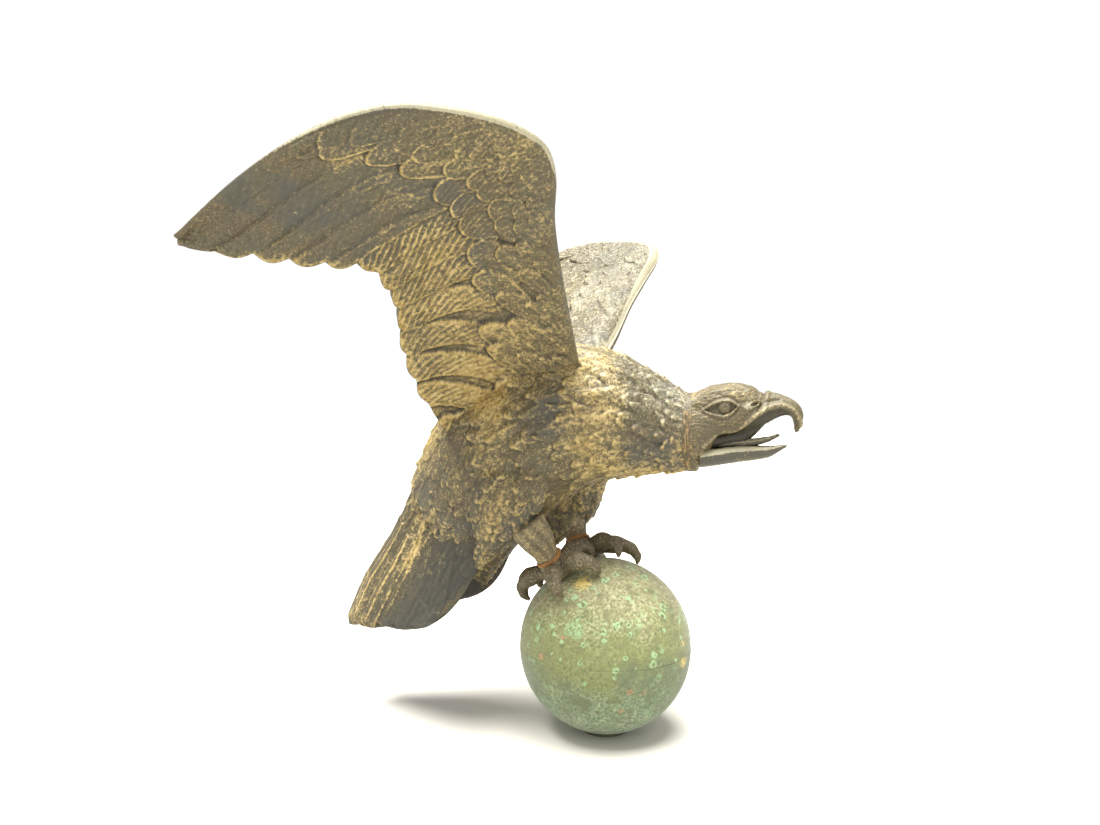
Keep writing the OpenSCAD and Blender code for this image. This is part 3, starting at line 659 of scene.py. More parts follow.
def makeTail(name, side, nodes, seed):
    # side is 1 for the skin over the tail and -1 for the one under it
    tt, vv = grid(np.linspace(0, 1, tailSet["rows"]), np.linspace(-1, 1, tailSet["columns"]))
    mid = tailMid(tt, vv)
    faces = gridFaces(*tt.shape)
    out = unit(relax(vertexNormals(mid.reshape(-1, 3), faces), faceEdges(faces), 12))
    if out[len(out) // 2, 0] > 0:
        out = -out
    base = mid.reshape(-1, 3) + out * (side * tailHalf(tt, vv)).reshape(-1, 1)
    normals = out * side
    if (vertexNormals(base, faces) * normals).sum() < 0:
        faces = faces[:, ::-1]
    rng = np.random.RandomState(seed)
    laid = []
    for rank in ((5, 4, 3, 2, 1, 0) if side > 0 else (1, 2, 3, 4, 5)):
        for hand in ((-1, 1) if rank else (1,)):
            at = hand * (rank / 5.3) ** 0.8
            t = np.linspace(-0.05, 1.02, 14)
            path = tailMid(np.clip(t, 0, 1), np.full(14, 0.0) + at * (0.6 + 0.4 * t))
            soft = 0.45 if rank > 2 else 1.0
            laid.append({"axis": path, "half": 12.5, "lift": 1.8 * soft, "crown": 1.5 * soft,
                         "rim": 0.9 * soft,
                         "rimWidth": 1.3, "shaft": 0.8 * soft, "shaftWidth": 1.3, "barb": 0.12, "pitch": 7.5,
                         "slope": 3.0, "rimGold": 0.8, "shaftGold": 0.9, "barbGold": 0.1, "tip": 0.93,
                         "root": 0.8, "blunt": 3, "deep": 8, "phase": rng.rand()})
    # short feathers over the root of the tail
    for row in np.arange(0.42, -0.1, -0.11):
        for v in np.arange(-0.95, 0.96, 0.2) + (0.1 if int(row * 100) % 2 else 0):
            t = np.linspace(row - 0.22, row + rng.uniform(-0.02, 0.03), 6)
            path = tailMid(np.clip(t, 0, 1), np.full(6, np.clip(v, -1, 1)))
            laid.append({"axis": path, "half": 8.5, "lift": 0.8, "crown": 0.5, "rim": 0.2, "rimWidth": 0.9,
                         "shaft": 0.3, "shaftWidth": 0.8, "barb": 0.15, "pitch": 3.6, "slope": 1.2,
                         "rimGold": 0.8, "shaftGold": 0.5, "barbGold": 0.5, "tip": 0.7, "root": 0.7, "deep": 8,
                         "phase": rng.rand()})
    height, line = layFeathers(base, normals, laid)
    edges = faceEdges(faces)
    height = relax(height, edges, 3)
    rough = layeredNoise(base, 12, seed) * 0.6 + layeredNoise(base, 3.5, seed + 2, 2) * 0.25
    rough += 0.5 * strokes(base, (-0.42, 0, -0.9), 18, 2.8, seed + 5)
    fade = (step(0, 0.04, 1 - np.abs(vv)) * step(0, 0.03, 1 - tt)).ravel()
    relief = ((height - 1.6) + rough) * (0.3 + 0.7 * fade)
    skin = base + normals * relief[:, None]
    inner = (mid.reshape(-1, 3) + out * side * 0.1).reshape(mid.shape)
    verts, allFaces = closeSkin(skin, inner, faces, tailSet["innerRows"], True)
    tg, vg = tt.ravel(), vv.ravel()
    near = step(0.85, 0.45, np.abs(vg))
    # gold over the middle of the tail; the slate on its down-turned sides is painted shade
    gilt = 0.05 + 0.36 * near + 0.4 * layeredNoise(base, 24, seed + 7) + 0.25 * step(0.4, 0.1, tg)
    gilt += 0.6 * bell((np.abs(vg) - 0.5) / 0.07) * bell((tg - 0.55) / 0.12)
    gilt += 0.6 * bell((np.abs(vg) - 0.98) / 0.06) * bell((tg - 0.82) / 0.06)
    slateAndShade = 0.9 - 0.7 * near - 0.5 * step(0.4, 0.1, tg) + 0.3 * layeredNoise(base, 30, seed + 1)
    values = dict(shadeMasks(relief, edges, 16, 1.2), gilt=gilt, slateAndShade=slateAndShade,
                  line=np.clip(relax(line, edges, 1), 0, 1) * near)
    newPiece(name, verts, allFaces, values, shadedTailMetal, "vane", nodes)


makeTail("tailOver", 1, ["tail_upper"], 21)
makeTail("tailUnder", -1, ["tail_under"], 22)
print("tail made")

# body: trunk, neck and thighs
bodySet = {
    "trunk": [
        [73, 296, 73, 230, 24.5, 0.86], [61, 302, 62, 228.5, 26.5, 0.86], [48, 310, 48, 227, 32.5, 0.86],
        [34, 319, 34, 225.5, 41, 0.8], [15, 329, 15, 223, 50, 0.7], [-8, 336, -8, 217, 56, 0.68],
        [-35, 338, -30, 206, 59, 0.74], [-65, 333, -49, 191, 59, 0.8], [-95, 320, -66, 175, 57, 0.86],
        [-123, 303, -80, 160, 53, 0.86], [-147, 281, -92, 147, 47, 0.86], [-162, 258, -101, 137, 42, 0.86],
        [-173, 235, -107, 129, 38, 0.86], [-182, 213, -111, 122, 34, 0.86]],
    "thigh": [
        [-70, -26, 246, 36, 20], [-73, -35, 228, 37, 23], [-77, -41, 208, 33, 21], [-79, -43, 192, 30, 18],
        [-81, -44, 178, 24, 14.5], [-88, -44.5, 166, 16, 11.5], [-96, -45, 155, 9, 7.5], [-102, -45, 144, 2.6, 2.6]],
    "leftAhead": 34.0, "voxel": 1.05, "soften": 9,
}


def ovalPoint(row, angle, power, start=0):
    # point of an oval that is given by its top and its bottom in side view and by its half width
    mid = np.stack([start + (row[..., 0] + row[..., 2]) / 2, 0 * angle, (row[..., 1] + row[..., 3]) / 2], -1)
    up = np.stack([(row[..., 0] - row[..., 2]) / 2, 0 * angle, (row[..., 1] - row[..., 3]) / 2], -1)
    d = np.sin(angle)
    wide = row[..., 4] * np.sign(d) * np.abs(d) ** power
    return mid + up * np.cos(angle)[..., None] + np.stack([0 * wide, wide, 0 * wide], -1)


def trunkPoint(s, angle):
    row = between(bodySet["trunk"], s)
    return ovalPoint(row, angle, row[..., 5])


def thighPoint(t, angle, hand):
    row = between(bodySet["thigh"], t)
    x = row[..., 0] + row[..., 3] * np.cos(angle) + (bodySet["leftAhead"] if hand > 0 else 0)
    y = (row[..., 1] - row[..., 4] * np.sin(angle)) * (-1 if hand > 0 else 1)
    return np.stack([x, y, row[..., 2]], -1)


def bodyShells():
    shells = [closedTube(trunkPoint(*grid(np.linspace(0, 1, 90), turn(96))))]
    for hand in (-1, 1):
        shells.append(closedTube(thighPoint(*grid(np.linspace(0, 1, 50), turn(60)), hand)))
    return shells


def onThigh(points, hand):
    # how far out a point is on the thigh's ovals, 1 on its skin
    columns = np.array(bodySet["thigh"][::-1]).T
    midX, midY, _, halfX, halfY = (np.interp(points[:, 2], columns[2], column) for column in columns)
    x = points[:, 0] - midX - (bodySet["leftAhead"] if hand > 0 else 0)
    y = points[:, 1] * (-1 if hand > 0 else 1) - midY
    return np.sqrt((x / halfX) ** 2 + (y / halfY) ** 2)


def bodyFeathers(rng):
    laid = []
    look = {"crown": 0.9, "rim": 0.5, "rimWidth": 1.1, "shaft": 0.4, "shaftWidth": 0.9,
            "barb": 0.35, "pitch": 3.8, "slope": 1.5, "rimGold": 0.55, "shaftGold": 0.4, "barbGold": 0.5,
            "tip": 0.45, "root": 0.6, "deep": 10, "rise": 4.0, "blunt": 1.4}
    for s in np.linspace(1.0, 0.0, 30):
        row = between(bodySet["trunk"], s)
        girth = 2.6 * (row[4] + math.hypot(row[0] - row[2], row[1] - row[3]) / 2)
        half = float(np.interp(s, [0, 0.25, 0.6, 1], [5.4, 8.0, 11.5, 12.5]))
        count = int(girth / (half * 1.55))
        for k in range(count):
            angle = 2 * math.pi * (k + 0.5 * rng.randint(2) + rng.uniform(-0.25, 0.25)) / count
            reach = float(np.interp(s, [0, 0.3, 1], [0.09, 0.11, 0.13])) * rng.uniform(0.8, 1.2)
            lean = np.linspace(0, rng.uniform(-0.12, 0.12), 5)
            path = trunkPoint(np.linspace(s - 0.02, s + reach, 5), angle + lean)
            laid.append(dict(look, axis=path, half=half * rng.uniform(0.7, 1.2), phase=rng.rand(),
                             slope=rng.choice([-1.4, 1.4]), lift=rng.uniform(2.0, 3.6)))
    return laid


def thighFeathers(rng, hand):
    laid = []
    look = {"crown": 0.6, "rim": 0.3, "rimWidth": 1.1, "shaft": 0.35, "shaftWidth": 0.9,
            "barb": 0.3, "pitch": 3.8, "slope": 1.5, "rimGold": 0.6, "shaftGold": 0.35, "barbGold": 0.4,
            "tip": 0.45, "root": 0.65, "deep": 6, "rise": 3.5, "blunt": 1.5}
    for t in np.linspace(0.9, -0.05, 13):
        row = between(bodySet["thigh"], max(t, 0))
        half = 5.0 + 4.6 * (1 - max(t, 0))
        count = max(5, int(2.2 * (row[3] + row[4]) / half))
        for k in range(count):
            angle = 2 * math.pi * (k + 0.5 * rng.randint(2) + rng.uniform(-0.2, 0.2)) / count
            path = thighPoint(np.clip(np.linspace(t - 0.03, t + 0.22, 6), 0, 1), np.full(6, angle), hand)
            laid.append(dict(look, axis=path, half=half * rng.uniform(0.8, 1.15), phase=rng.rand(),
                             slope=rng.choice([-1.4, 1.4]), lift=rng.uniform(1.6, 3.0)))
    return laid


def cutHalves(verts, faces, values, nodeNames):
    # the two moulded halves, parted along the middle
    for hand, node in zip((-1, 1), nodeNames):
        name = "eagleBodyRight" if hand < 0 else "eagleBodyLeft"
        piece = newPiece(name, verts, faces, values, bodyMetal, "vane", [node])
        form = bmesh.new()
        form.from_mesh(piece.data)
        bmesh.ops.bisect_plane(form, geom=form.verts[:] + form.edges[:] + form.faces[:], dist=1e-6,
                               plane_co=(0, hand * 0.05 * mm, 0), plane_no=(0, -hand, 0), clear_outer=True)
        bmesh.ops.holes_fill(form, edges=[e for e in form.edges if e.is_boundary], sides=0)
        form.to_mesh(piece.data)
        form.free()
        piece.data.update()


points, quads, normals, edges = fuse(bodyShells(), bodySet["voxel"], bodySet["soften"])
x, y, z = points.T
rng = np.random.RandomState(31)
height, line = layFeathers(points, relax(normals, edges, 6), bodyFeathers(rng))
for hand in (-1, 1):
    legHeight, legLine = layFeathers(points, normals, thighFeathers(rng, hand))
    near = step(1.25, 1.04, onThigh(points, hand)) * step(252, 236, z) * (y * hand > 4)
    height = height * (1 - near) + legHeight * near
    line = line * (1 - near) + legLine * near
height = relax(height, edges, 2)
rough = layeredNoise(points, 14, 8) * 0.9 + layeredNoise(points, 4, 5, 2) * 0.4
rough += 0.45 * strokes(points, (-0.9, 0, -0.42), 14, 2.5, 17) * step(-70, -20, x)
rough += 0.45 * strokes(points, (-0.5, 0, -0.85), 14, 2.5, 19) * step(-20, -70, x)
seam = bell(y / 0.8) * 0.5
relief = (height - 1.5 + rough) * step(0.5, 3.5, 73 - x) - seam
gilt = 0.54 + 0.8 * layeredNoise(points, 42, 3) - 0.25 * step(10, 40, x) * step(262, 280, z)
gilt += 0.2 * step(-60, -100, x) * step(180, 220, z) + 0.25 * step(236, 229, z) * step(0, 30, x)
slateAndShade = 0.25 + 0.5 * step(0, 40, x) * step(285, 250, z) + 0.9 * layeredNoise(points, 30, 13)
for hand in (-1, 1):
    onLimb = step(1.35, 1.05, onThigh(points, hand)) * (y * hand > 0)
    gilt += 0.06 * onLimb * step(235, 200, z)
    slateAndShade += 0.25 * onLimb * step(212, 180, z)
masks = shadeMasks(relief, edges, 16, 1.0)
# pale over the top of the neck and shoulders, more on ridges: painted glints and highlight; the noise adds real pale
# bloom
paleAndHighlight = step(-40, 20, x) * step(240, 290, z) * (0.48 + 0.25 * masks["raised"])
paleAndHighlight += 0.25 * layeredNoise(points, 18, 9)
values = dict(masks, gilt=gilt, paleAndHighlight=paleAndHighlight, slateAndShade=slateAndShade, line=relax(line, edges, 1))
cutHalves(points + normals * relief[:, None], quads, values, ["body_right_shell", "body_left_shell"])
print("body made with", len(points), "points")

# head
headSet = {
    "start": 76.0, "voxel": 0.5, "soften": 3,
    "skull": [
        [0, 296.5, 0, 230.5, 24.5], [4, 297, 4, 231.5, 25], [10, 299.5, 11, 240, 25.5], [18, 302.5, 21, 256, 25.5],
        [29, 304.5, 32, 259.5, 25], [39, 304, 42, 262, 23], [49, 301.5, 51, 264.5, 19], [55, 297.5, 57, 268, 16],
        [61, 297.5, 63, 271.5, 13.5], [70, 296, 71, 276, 10.5], [79, 292.5, 77.5, 277.5, 8.6],
        [86, 287.5, 81, 275.5, 6.4], [89.7, 280, 82.3, 271, 4.2], [88.4, 271, 82.6, 266.4, 2.9],
        [86.8, 264.6, 83.6, 263.6, 1.6]],
    "jaw": [
        [9, 251, 7, 233, 21], [24, 253, 23, 235.5, 18.5], [36, 254.5, 36, 238, 15.5], [49, 254.5, 49, 240, 12],
        [62, 254, 62, 242.5, 8.4], [72, 253.4, 71, 246.9, 5.0], [77.2, 253.0, 76.6, 250.2, 2.4]],
    "tongue": [
        [16, 258.4, 16, 249.4, 12.5], [34, 258.2, 34, 250.6, 10.5], [48, 258.6, 48, 251.6, 8],
        [60, 260.2, 61, 255.2, 5.2], [70, 262.6, 71.6, 260.2, 2.2]],
    "throat": [
        [8, 262, 8, 248, 17], [20, 264, 20, 249, 14], [32, 267, 32, 252, 12.5], [42, 270, 42, 254.5, 11],
        [50, 273, 49, 259, 8], [57, 276, 56, 266, 4.5], [62, 278, 61.5, 273, 1.5]],
}


def ovalRings(rows, count, sides):
    s, a = grid(np.linspace(0, 1, count), turn(sides))
    return ovalPoint(between(rows, s), a, 0.86, headSet["start"])


def curveGap(points, path):
    # distance in side view from a drawn line
    best = np.full(len(points), 1e9)
    p = points[:, [0, 2]]
    for a, b in zip(path[:-1], path[1:]):
        a, b = np.array(a, float), np.array(b, float)
        t = np.clip(((p - a) @ (b - a)) / max(((b - a) ** 2).sum(), 1e-9), 0, 1)
        best = np.minimum(best, np.linalg.norm(p - a - t[:, None] * (b - a), axis=1))
    return best


def drawn(points, path, width):
    return bell(curveGap(points, between(path, np.linspace(0, 1, 24))) / width)


def shifted(path, dx, dz):
    return [(x + dx, z + dz) for x, z in path]


def widthAt(x, rows):
    # half width of a row of ovals at a place along the frame's X
    return np.interp(x - 76, [row[0] for row in rows], [row[4] for row in rows])


skullTube = closedTube(ovalRings(headSet["skull"], 120, 72))
points, quads, normals, edges = fuse([skullTube], headSet["voxel"], headSet["soften"])
sideOn = step(0.15, 0.55, np.abs(normals[:, 1]))
headX, headZ = points[:, 0], points[:, 2]
upperLid = [(87.0, 282.2), (94, 286.8), (103, 289.9), (110, 289.3), (115.2, 285.8)]
lowerLid = [(87.0, 282.2), (95, 278.8), (103, 277.3), (110, 279.8), (115.2, 285.8)]
browLine = [(82, 287), (91, 294.6), (103, 298.2), (115, 296.4), (124, 290.0)]
lipLine = [(87, 252.6), (94, 260.0), (101.5, 264.6), (113, 266.4), (122, 273.0), (131.5, 280.8), (139, 285.0),
           (148, 286.8), (155, 284.6), (161, 279.0), (163.2, 270)]
cereLine = [(129.5, 281), (132.6, 287), (134.0, 292), (134.4, 301)]
underLid = np.interp(headX, *np.array(upperLid).T) - headZ
inEye = np.minimum(underLid, headZ - np.interp(headX, *np.array(lowerLid).T))
inEye = step(0.2, 1.6, inEye) * (headX > 87.5) * (headX < 114.8)
fromPupil = np.hypot(headX - 104.6, headZ - 285.0)
eyeball = np.sqrt(np.clip(1 - (fromPupil / 5.4) ** 2, 0, 1))
relief = sideOn * (
    inEye * (-2.2 + 2.4 * eyeball - 0.6 * step(1.9, 1.0, fromPupil))
    + 1.0 * drawn(points, upperLid, 0.8) + 0.7 * drawn(points, lowerLid, 0.75)
    - 0.9 * drawn(points, shifted(upperLid, 0, 2.9), 1.0)
    - 0.7 * drawn(points, shifted(lowerLid, 0, -2.8), 1.0)
    + 1.5 * drawn(points, browLine, 2.2) - 0.6 * drawn(points, shifted(browLine, 0, 4.4), 1.2)
    + 0.7 * drawn(points, shifted(browLine, -1, 7.4), 1.4)
)
belowLip = step(1.6, 4.2, np.interp(headX, *np.array(lipLine[:9]).T) - headZ)
belowLip = belowLip * step(92, 99, headX) * step(159, 152, headX)
relief += sideOn * 2.6 * drawn(points, lipLine, 1.8)
relief -= sideOn * 0.8 * drawn(points, shifted(lipLine[2:8], -1.6, 4.2), 1.2)
relief += -1.5 * drawn(points, cereLine, 1.1) + 1.2 * drawn(points, shifted(cereLine, 3.6, 0), 1.9)
nostril = np.hypot((headX - 127.8) / 3.2, (headZ - 287.4 - 0.3 * (headX - 127.8)) / 1.5)
relief += sideOn * (-1.8 * step(1.2, 0.5, nostril) + 0.8 * bell((nostril - 1.5) / 0.4))
crownFeathers = []
rng = np.random.RandomState(41)
for x in np.arange(74, 134, 4.2):
    for z in np.arange(236, 306, 3.4):
        start = np.array([x + 7.0 + rng.uniform(-1, 1), 0, z + rng.uniform(-1, 1)])
        lean = rng.uniform(-0.12, 0.12) + 0.25 * (z > 292) - 0.1 * (z < 265)
        for hand in (-1, 1):
            path = np.array([start + np.array([-k * 2.2, 0, -lean * k * 2.2]) for k in range(5)])
            path[:, 1] = hand * 23
            crownFeathers.append({
                "axis": path, "half": 1.9, "lift": 0.45, "crown": 0.28, "rim": 0.0, "rimWidth": 0.6,
                "shaft": 0.12, "shaftWidth": 0.5, "barb": 0.0, "pitch": 2, "slope": 1, "rimGold": 0.4,
                "shaftGold": 0.3, "barbGold": 0, "tip": 0.55, "root": 0.5, "deep": 26})
order = np.argsort([f["axis"][0][0] for f in crownFeathers])
sideways = np.tile([0.0, 1.0, 0.0], (len(points), 1)) * np.sign(points[:, 1:2])
height, line = layFeathers(points, sideways, [crownFeathers[k] for k in order])
lidGaps = [curveGap(points, between(lid, np.linspace(0, 1, 20))) for lid in (upperLid, lowerLid)]
feathered = step(132, 122, headX) * step(1.2, 3.5, np.minimum(*lidGaps)) * (1 - inEye)
feathered *= step(1.0, 5.0, curveGap(points, between(lipLine, np.linspace(0, 1, 30))))
rough = layeredNoise(points, 6, 3) * 0.45 + layeredNoise(points, 2, 5, 2) * 0.2
relief += relax(height, edges, 1) * feathered + rough
# the palate is sunk between the lips, and is later painted dark as shade
palate = step(-0.35, -0.75, normals[:, 2]) * step(92, 98, headX) * step(160, 150, headX)
palate *= step(0.95, 0.55, np.abs(points[:, 1]) / np.maximum(widthAt(headX, headSet["skull"][:12]), 1))
relief -= 0.9 * palate
relief *= step(0.3, 2.5, headX - headSet["start"])
masks = shadeMasks(relief, edges, 14, 1.0)
# below the lip ridge on faces turned down, in the palate and round the eyeball the metal is painted dark as shade
underLip = belowLip * step(0.55, 0.15, normals[:, 2])
# the lip ridge is painted light as a highlight
masks["raised"] = np.maximum(masks["raised"], 0.9 * sideOn * drawn(points, lipLine, 1.5))
masks["hollow"] = np.maximum.reduce([masks["hollow"], 0.95 * palate, 0.95 * underLip,
                                     0.45 * inEye * (1 - eyeball) * sideOn])
gilt = 0.3 + 0.35 * layeredNoise(points, 22, 6) + 0.12 * step(92, 78, headX) - 0.2 * step(128, 140, headX)
# painted highlight: a patch before the eye, the lip ridge and the eyelids
paleAndHighlight = bell((headX - 123) / 6) * bell((headZ - 286) / 4) + 0.52 * drawn(points, lipLine, 1.7)
paleAndHighlight += 0.3 * drawn(points, upperLid, 1.0) + 0.25 * drawn(points, lowerLid, 1.0)
values = dict(masks, gilt=gilt, line=line * feathered, paleAndHighlight=paleAndHighlight * sideOn)
shaped = points + normals * relief[:, None]
shaped[:, 1] -= np.sign(points[:, 1]) * 2.4 * sideOn * belowLip * step(0.5, 3, np.abs(points[:, 1]))
newPiece("eagleHead", shaped, quads, values, headMetal, "vane", ["head_shell"])

# jaw, tongue, and behind them a fold painted dark as the shade inside the mouth
for name, rows, nodes, sides in (
        ("lowerBeak", "jaw", ["lower_jaw"], 60), ("tongueTip", "tongue", ["tongue"], 40),
        ("shadedThroatFold", "throat", [], 40)):
    points, quads, normals, edges = fuse([closedTube(ovalRings(headSet[rows], 80, sides))], 0.55, 3)
    relief = layeredNoise(points, 5, 7) * 0.3
    onTop = step(0.4, 0.8, normals[:, 2])
    outward = np.abs(points[:, 1]) / np.maximum(widthAt(points[:, 0], headSet[rows]), 0.5)
    if rows == "jaw":
        relief -= 1.6 * onTop * step(0.8, 0.45, outward)
        relief += 0.5 * drawn(points, [(86, 249), (100, 251), (125, 252.5), (152, 251.5)], 1.3) * (1 - onTop)
    else:
        relief -= 0.7 * bell(points[:, 1] / 0.9) * onTop
    if rows != "throat":
        points[:, 2] += 1.3 * step(138, 153, points[:, 0]) * step(165, 152, points[:, 0])
    # painted highlight along the upward-facing outer rim; lighter along the bottom edge too
    rim = step(0.1, 0.45, normals[:, 2]) * step(0.4, 0.75, outward)
    bottom = np.interp(points[:, 0] - 76, *np.array(headSet[rows])[:, 2:4].T)
    foot = step(2.6, 0.6, points[:, 2] - bottom)
    values = {"gilt": 0.25 + 0.3 * layeredNoise(points, 12, 5), "hollow": np.clip(-relief * 0.3, 0, 0.8),
              "slateAndShade": (0.55 + 0.5 * layeredNoise(points, 9, 2)) * (1 - rim), "paleAndHighlight": 1.1 * rim + 0.7 * foot}
    # the tongue's upward faces are painted light as a highlight
    if rows == "tongue":
        values["paleAndHighlight"] = 0.75 * step(0.0, 0.5, normals[:, 2])
    if rows == "throat":
        # the fold is painted dark: shade inside the mouth
        values["hollow"] = 0.9 - 0.5 * step(0.2, 0.7, layeredNoise(points, 9, 4))
        values["paleAndHighlight"] *= 0
    newPiece(name, points + normals * relief[:, None], quads, values, headMetal, "vane", nodes)

# neck joint: a soldered band with scratches across it
bandSet = {"ahead": -3.4, "wide": 10.8, "rows": 30, "sides": 260, "proud": 0.55}
along = np.linspace(bandSet["ahead"], bandSet["ahead"] + bandSet["wide"], bandSet["rows"])
s, a = grid(along, turn(bandSet["sides"]))
ring = trunkPoint(np.zeros(bandSet["sides"]), turn(bandSet["sides"]))
out = unit(ring - ring.mean(0))
bandSpot = np.stack([s.ravel(), a.ravel() * 27, 0 * s.ravel()], -1)
proud = bandSet["proud"] * np.sin(math.pi * (s - bandSet["ahead"]) / bandSet["wide"]) ** 0.6
proud += 0.3 * layeredNoise(bandSpot, 3.5, 6).reshape(s.shape) - 0.15
rings = ring[None] + out[None] * proud[..., None]
rings[:, :, 0] = 73 + s
verts, faces = closedTube(rings)
scratch = latticeNoise(bandSpot * [1 / 0.9, 1 / 3.4, 1], 1.0, 12)
lowHalf = np.tile(step(40, -10, ring[:, 2] - 262), bandSet["rows"])
values = {"gilt": 0.5 + 0.4 * layeredNoise(bandSpot, 20, 5), "hollow": -scratch * 0.5,
          "line": np.clip(scratch * 1.3 - 0.35, 0, 1) * lowHalf}
newPiece("neckBand", verts, faces, values, bandMetal, "vane", ["neck_ring"])
print("head made")

# legs and feet
legSet = {
    "ball": 75.0, "reach": 98.4, "side": 34.0, "back": 42.5, "leftStep": 8.0, "toe": 6.0,
    "arc": [4, 11, 19, 26, 30, 30.8], "lift": [1.5, 2.1, 2.4, 2.1, 1.1, 0.2],
    "thick": [1.25, 1.3, 1.25, 1.0, 0.62, 0.2],
    # heading and size of each toe of the right foot (-1) and of the left (1)
    "toes": {-1: [[60, 0.68], [128, 0.9], [196, 0.95], [-48, 1.1]],
             1: [[60, 0.9], [124, 1.22], [160, 1.02], [-48, 1.1]]},
    "ankleRings": [[76.0, 8.0], [78, 11.5], [81, 12.4], [85, 11.2], [90, 10.2]],
    "legHeights": [89.5, 96.4, 104.4, 112.4, 120.4, 134.4], "legRadii": [10.6, 9.4, 10.2, 12.5, 14, 15],
}


def onLeg(points, hand):
    # from the leg's own line, up from the ball's middle through the ankle, to the frame
    x = -legSet["back"] + (legSet["leftStep"] if hand > 0 else 0)
    ankle = np.array([x, -legSet["side"], math.sqrt(legSet["reach"] ** 2 - x * x - legSet["side"] ** 2)])
    turn, tip = math.atan2(ankle[1], ankle[0]), math.atan2(math.hypot(ankle[0], ankle[1]), ankle[2])
    c, s = math.cos(tip), math.sin(tip)
    p = np.asarray(points, float)
    x, z = c * p[..., 0] + s * p[..., 2], -s * p[..., 0] + c * p[..., 2]
    c, s = math.cos(turn), math.sin(turn)
    x, y = c * x - s * p[..., 1], s * x + c * p[..., 1]
    return np.stack([x, y * (-1 if hand > 0 else 1), z + legSet["ball"]], -1)


def overBall(heading, arc, lift):
    r, h, a = legSet["ball"] + lift, math.radians(heading), np.radians(arc)
    return np.stack([r * np.sin(a) * math.cos(h), r * np.sin(a) * math.sin(h), r * np.cos(a)], -1)


def makeFoot(hand, node, seed):
    shells = []
    t = np.linspace(0, 1, 40)
    for heading, size in legSet["toes"][hand]:
        arc = between(np.array(legSet["arc"])[:, None] * size, t)[:, 0]
        lift = between(np.array(legSet["lift"])[:, None] * legSet["toe"], t)[:, 0]
        thick = between(np.array(legSet["thick"])[:, None] * legSet["toe"], t)[:, 0]
        knuckle = 1 + 0.1 * np.cos(2 * math.pi * (t * 3.1 - 0.1)) * step(0.75, 0.55, t)
        claw = 1 - 0.16 * bell((t - 0.66) / 0.05)
        shells.append(roundTube(overBall(heading, arc, lift), np.maximum(thick * knuckle * claw, 0.7), 22))
    rings = [[(r * 1.06 * math.cos(a), r * math.sin(a), z) for a in turn(40)] for z, r in legSet["ankleRings"]]
    shells.append(closedTube(rings))
    points, quads, normals, edges = fuse(shells, 0.7, 3)
    # scutes across each toe, and a skin of small grains
    away = np.hypot(points[:, 0], points[:, 1])
    onToe = step(10, 14, away) * step(27, 19.8, away)
    relief = 0.22 * onToe * np.sin(away * 2 * math.pi / 3.4) * step(0.0, 0.6, normals[:, 2])
    relief += layeredNoise(points, 5.0, seed) * 0.6 + layeredNoise(points, 1.4, seed + 4, 2) * 0.16
    out = points + normals * relief[:, None]
    # nothing sinks into the ball
    sunk = np.linalg.norm(out, axis=1)
    out *= (np.maximum(sunk, legSet["ball"] + 0.35) / sunk)[:, None]
    masks = shadeMasks(relief, edges, 10, 2.4)
    # darker where the toes come near the ball: painted shade between foot and ball
    clearance = np.linalg.norm(points, axis=1) - legSet["ball"]
    masks["hollow"] = np.maximum(masks["hollow"], 0.7 * step(3.5, 0.5, clearance))
    values = dict(masks, gilt=0.2 + 0.3 * layeredNoise(points, 9, seed + 2),
                  paleAndHighlight=0.1 + 0.4 * layeredNoise(points, 12, seed + 6))
    faces = quads if hand < 0 else quads[:, ::-1]
    newPiece(sided(hand, "Foot"), onLeg(out, hand), faces, values, footMetal, "vane", [node])


def makeLeg(hand, node, seed):
    z = np.linspace(legSet["legHeights"][0], legSet["legHeights"][-1], 90)
    zz, aa = grid(z, turn(120))
    rr = ease(legSet["legHeights"], legSet["legRadii"], z)[:, None]
    ridge = 0.35 * np.sin(aa * 9 + zz * 0.12) * step(100, 112, zz)
    ridge += 0.18 * np.sin(zz * 2 * math.pi / 3.1) * step(104, 96, zz)
    flat = np.stack([rr * 1.08 * np.cos(aa), rr * np.sin(aa), zz], -1).reshape(-1, 3)
    bump = ridge.ravel() + 0.35 * layeredNoise(flat, 5, seed)
    flat = flat + np.stack([np.cos(aa), np.sin(aa), 0 * aa], -1).reshape(-1, 3) * bump[:, None]
    verts, faces = closedTube(flat.reshape(90, 120, 3))
    values = {"gilt": np.full(len(flat), 0.48), "raised": 0.3 + 0.5 * np.clip(bump, 0, 1), "hollow": -bump,
              "paleAndHighlight": 0.25 + 0.4 * layeredNoise(flat, 14, seed + 2)}
    if hand > 0:
        faces = [f[::-1] for f in faces]
    newPiece(sided(hand, "Leg"), onLeg(verts, hand), faces, values, footMetal, "vane", [node])


def makeWire(hand, node):
    # two turns of wire round the ankle, a little aslant
    t = np.linspace(0, 1, 200)
    a = 4 * math.pi * t + 1.2
    z = 96.4 + 2.1 * (t - 0.5) - 0.9 * np.cos(a)
    r = 10.5 + 0.12 * np.sin(7 * a) - 0.9 * (step(0.03, 0, t) + step(0.97, 1, t))
    path = np.stack([r * 1.03 * np.cos(a), r * np.sin(a), z], -1)
    verts, faces = roundTube(path, 1.25 + 0.05 * np.sin(a * 11), 16)
    values = {"gilt": 0.5 + 0.4 * layeredNoise(verts, 5, 3)}
    if hand > 0:
        faces = [f[::-1] for f in faces]
    newPiece(sided(hand, "AnkleWire"), onLeg(verts, hand), faces, values, rustWire, "vane", [node])


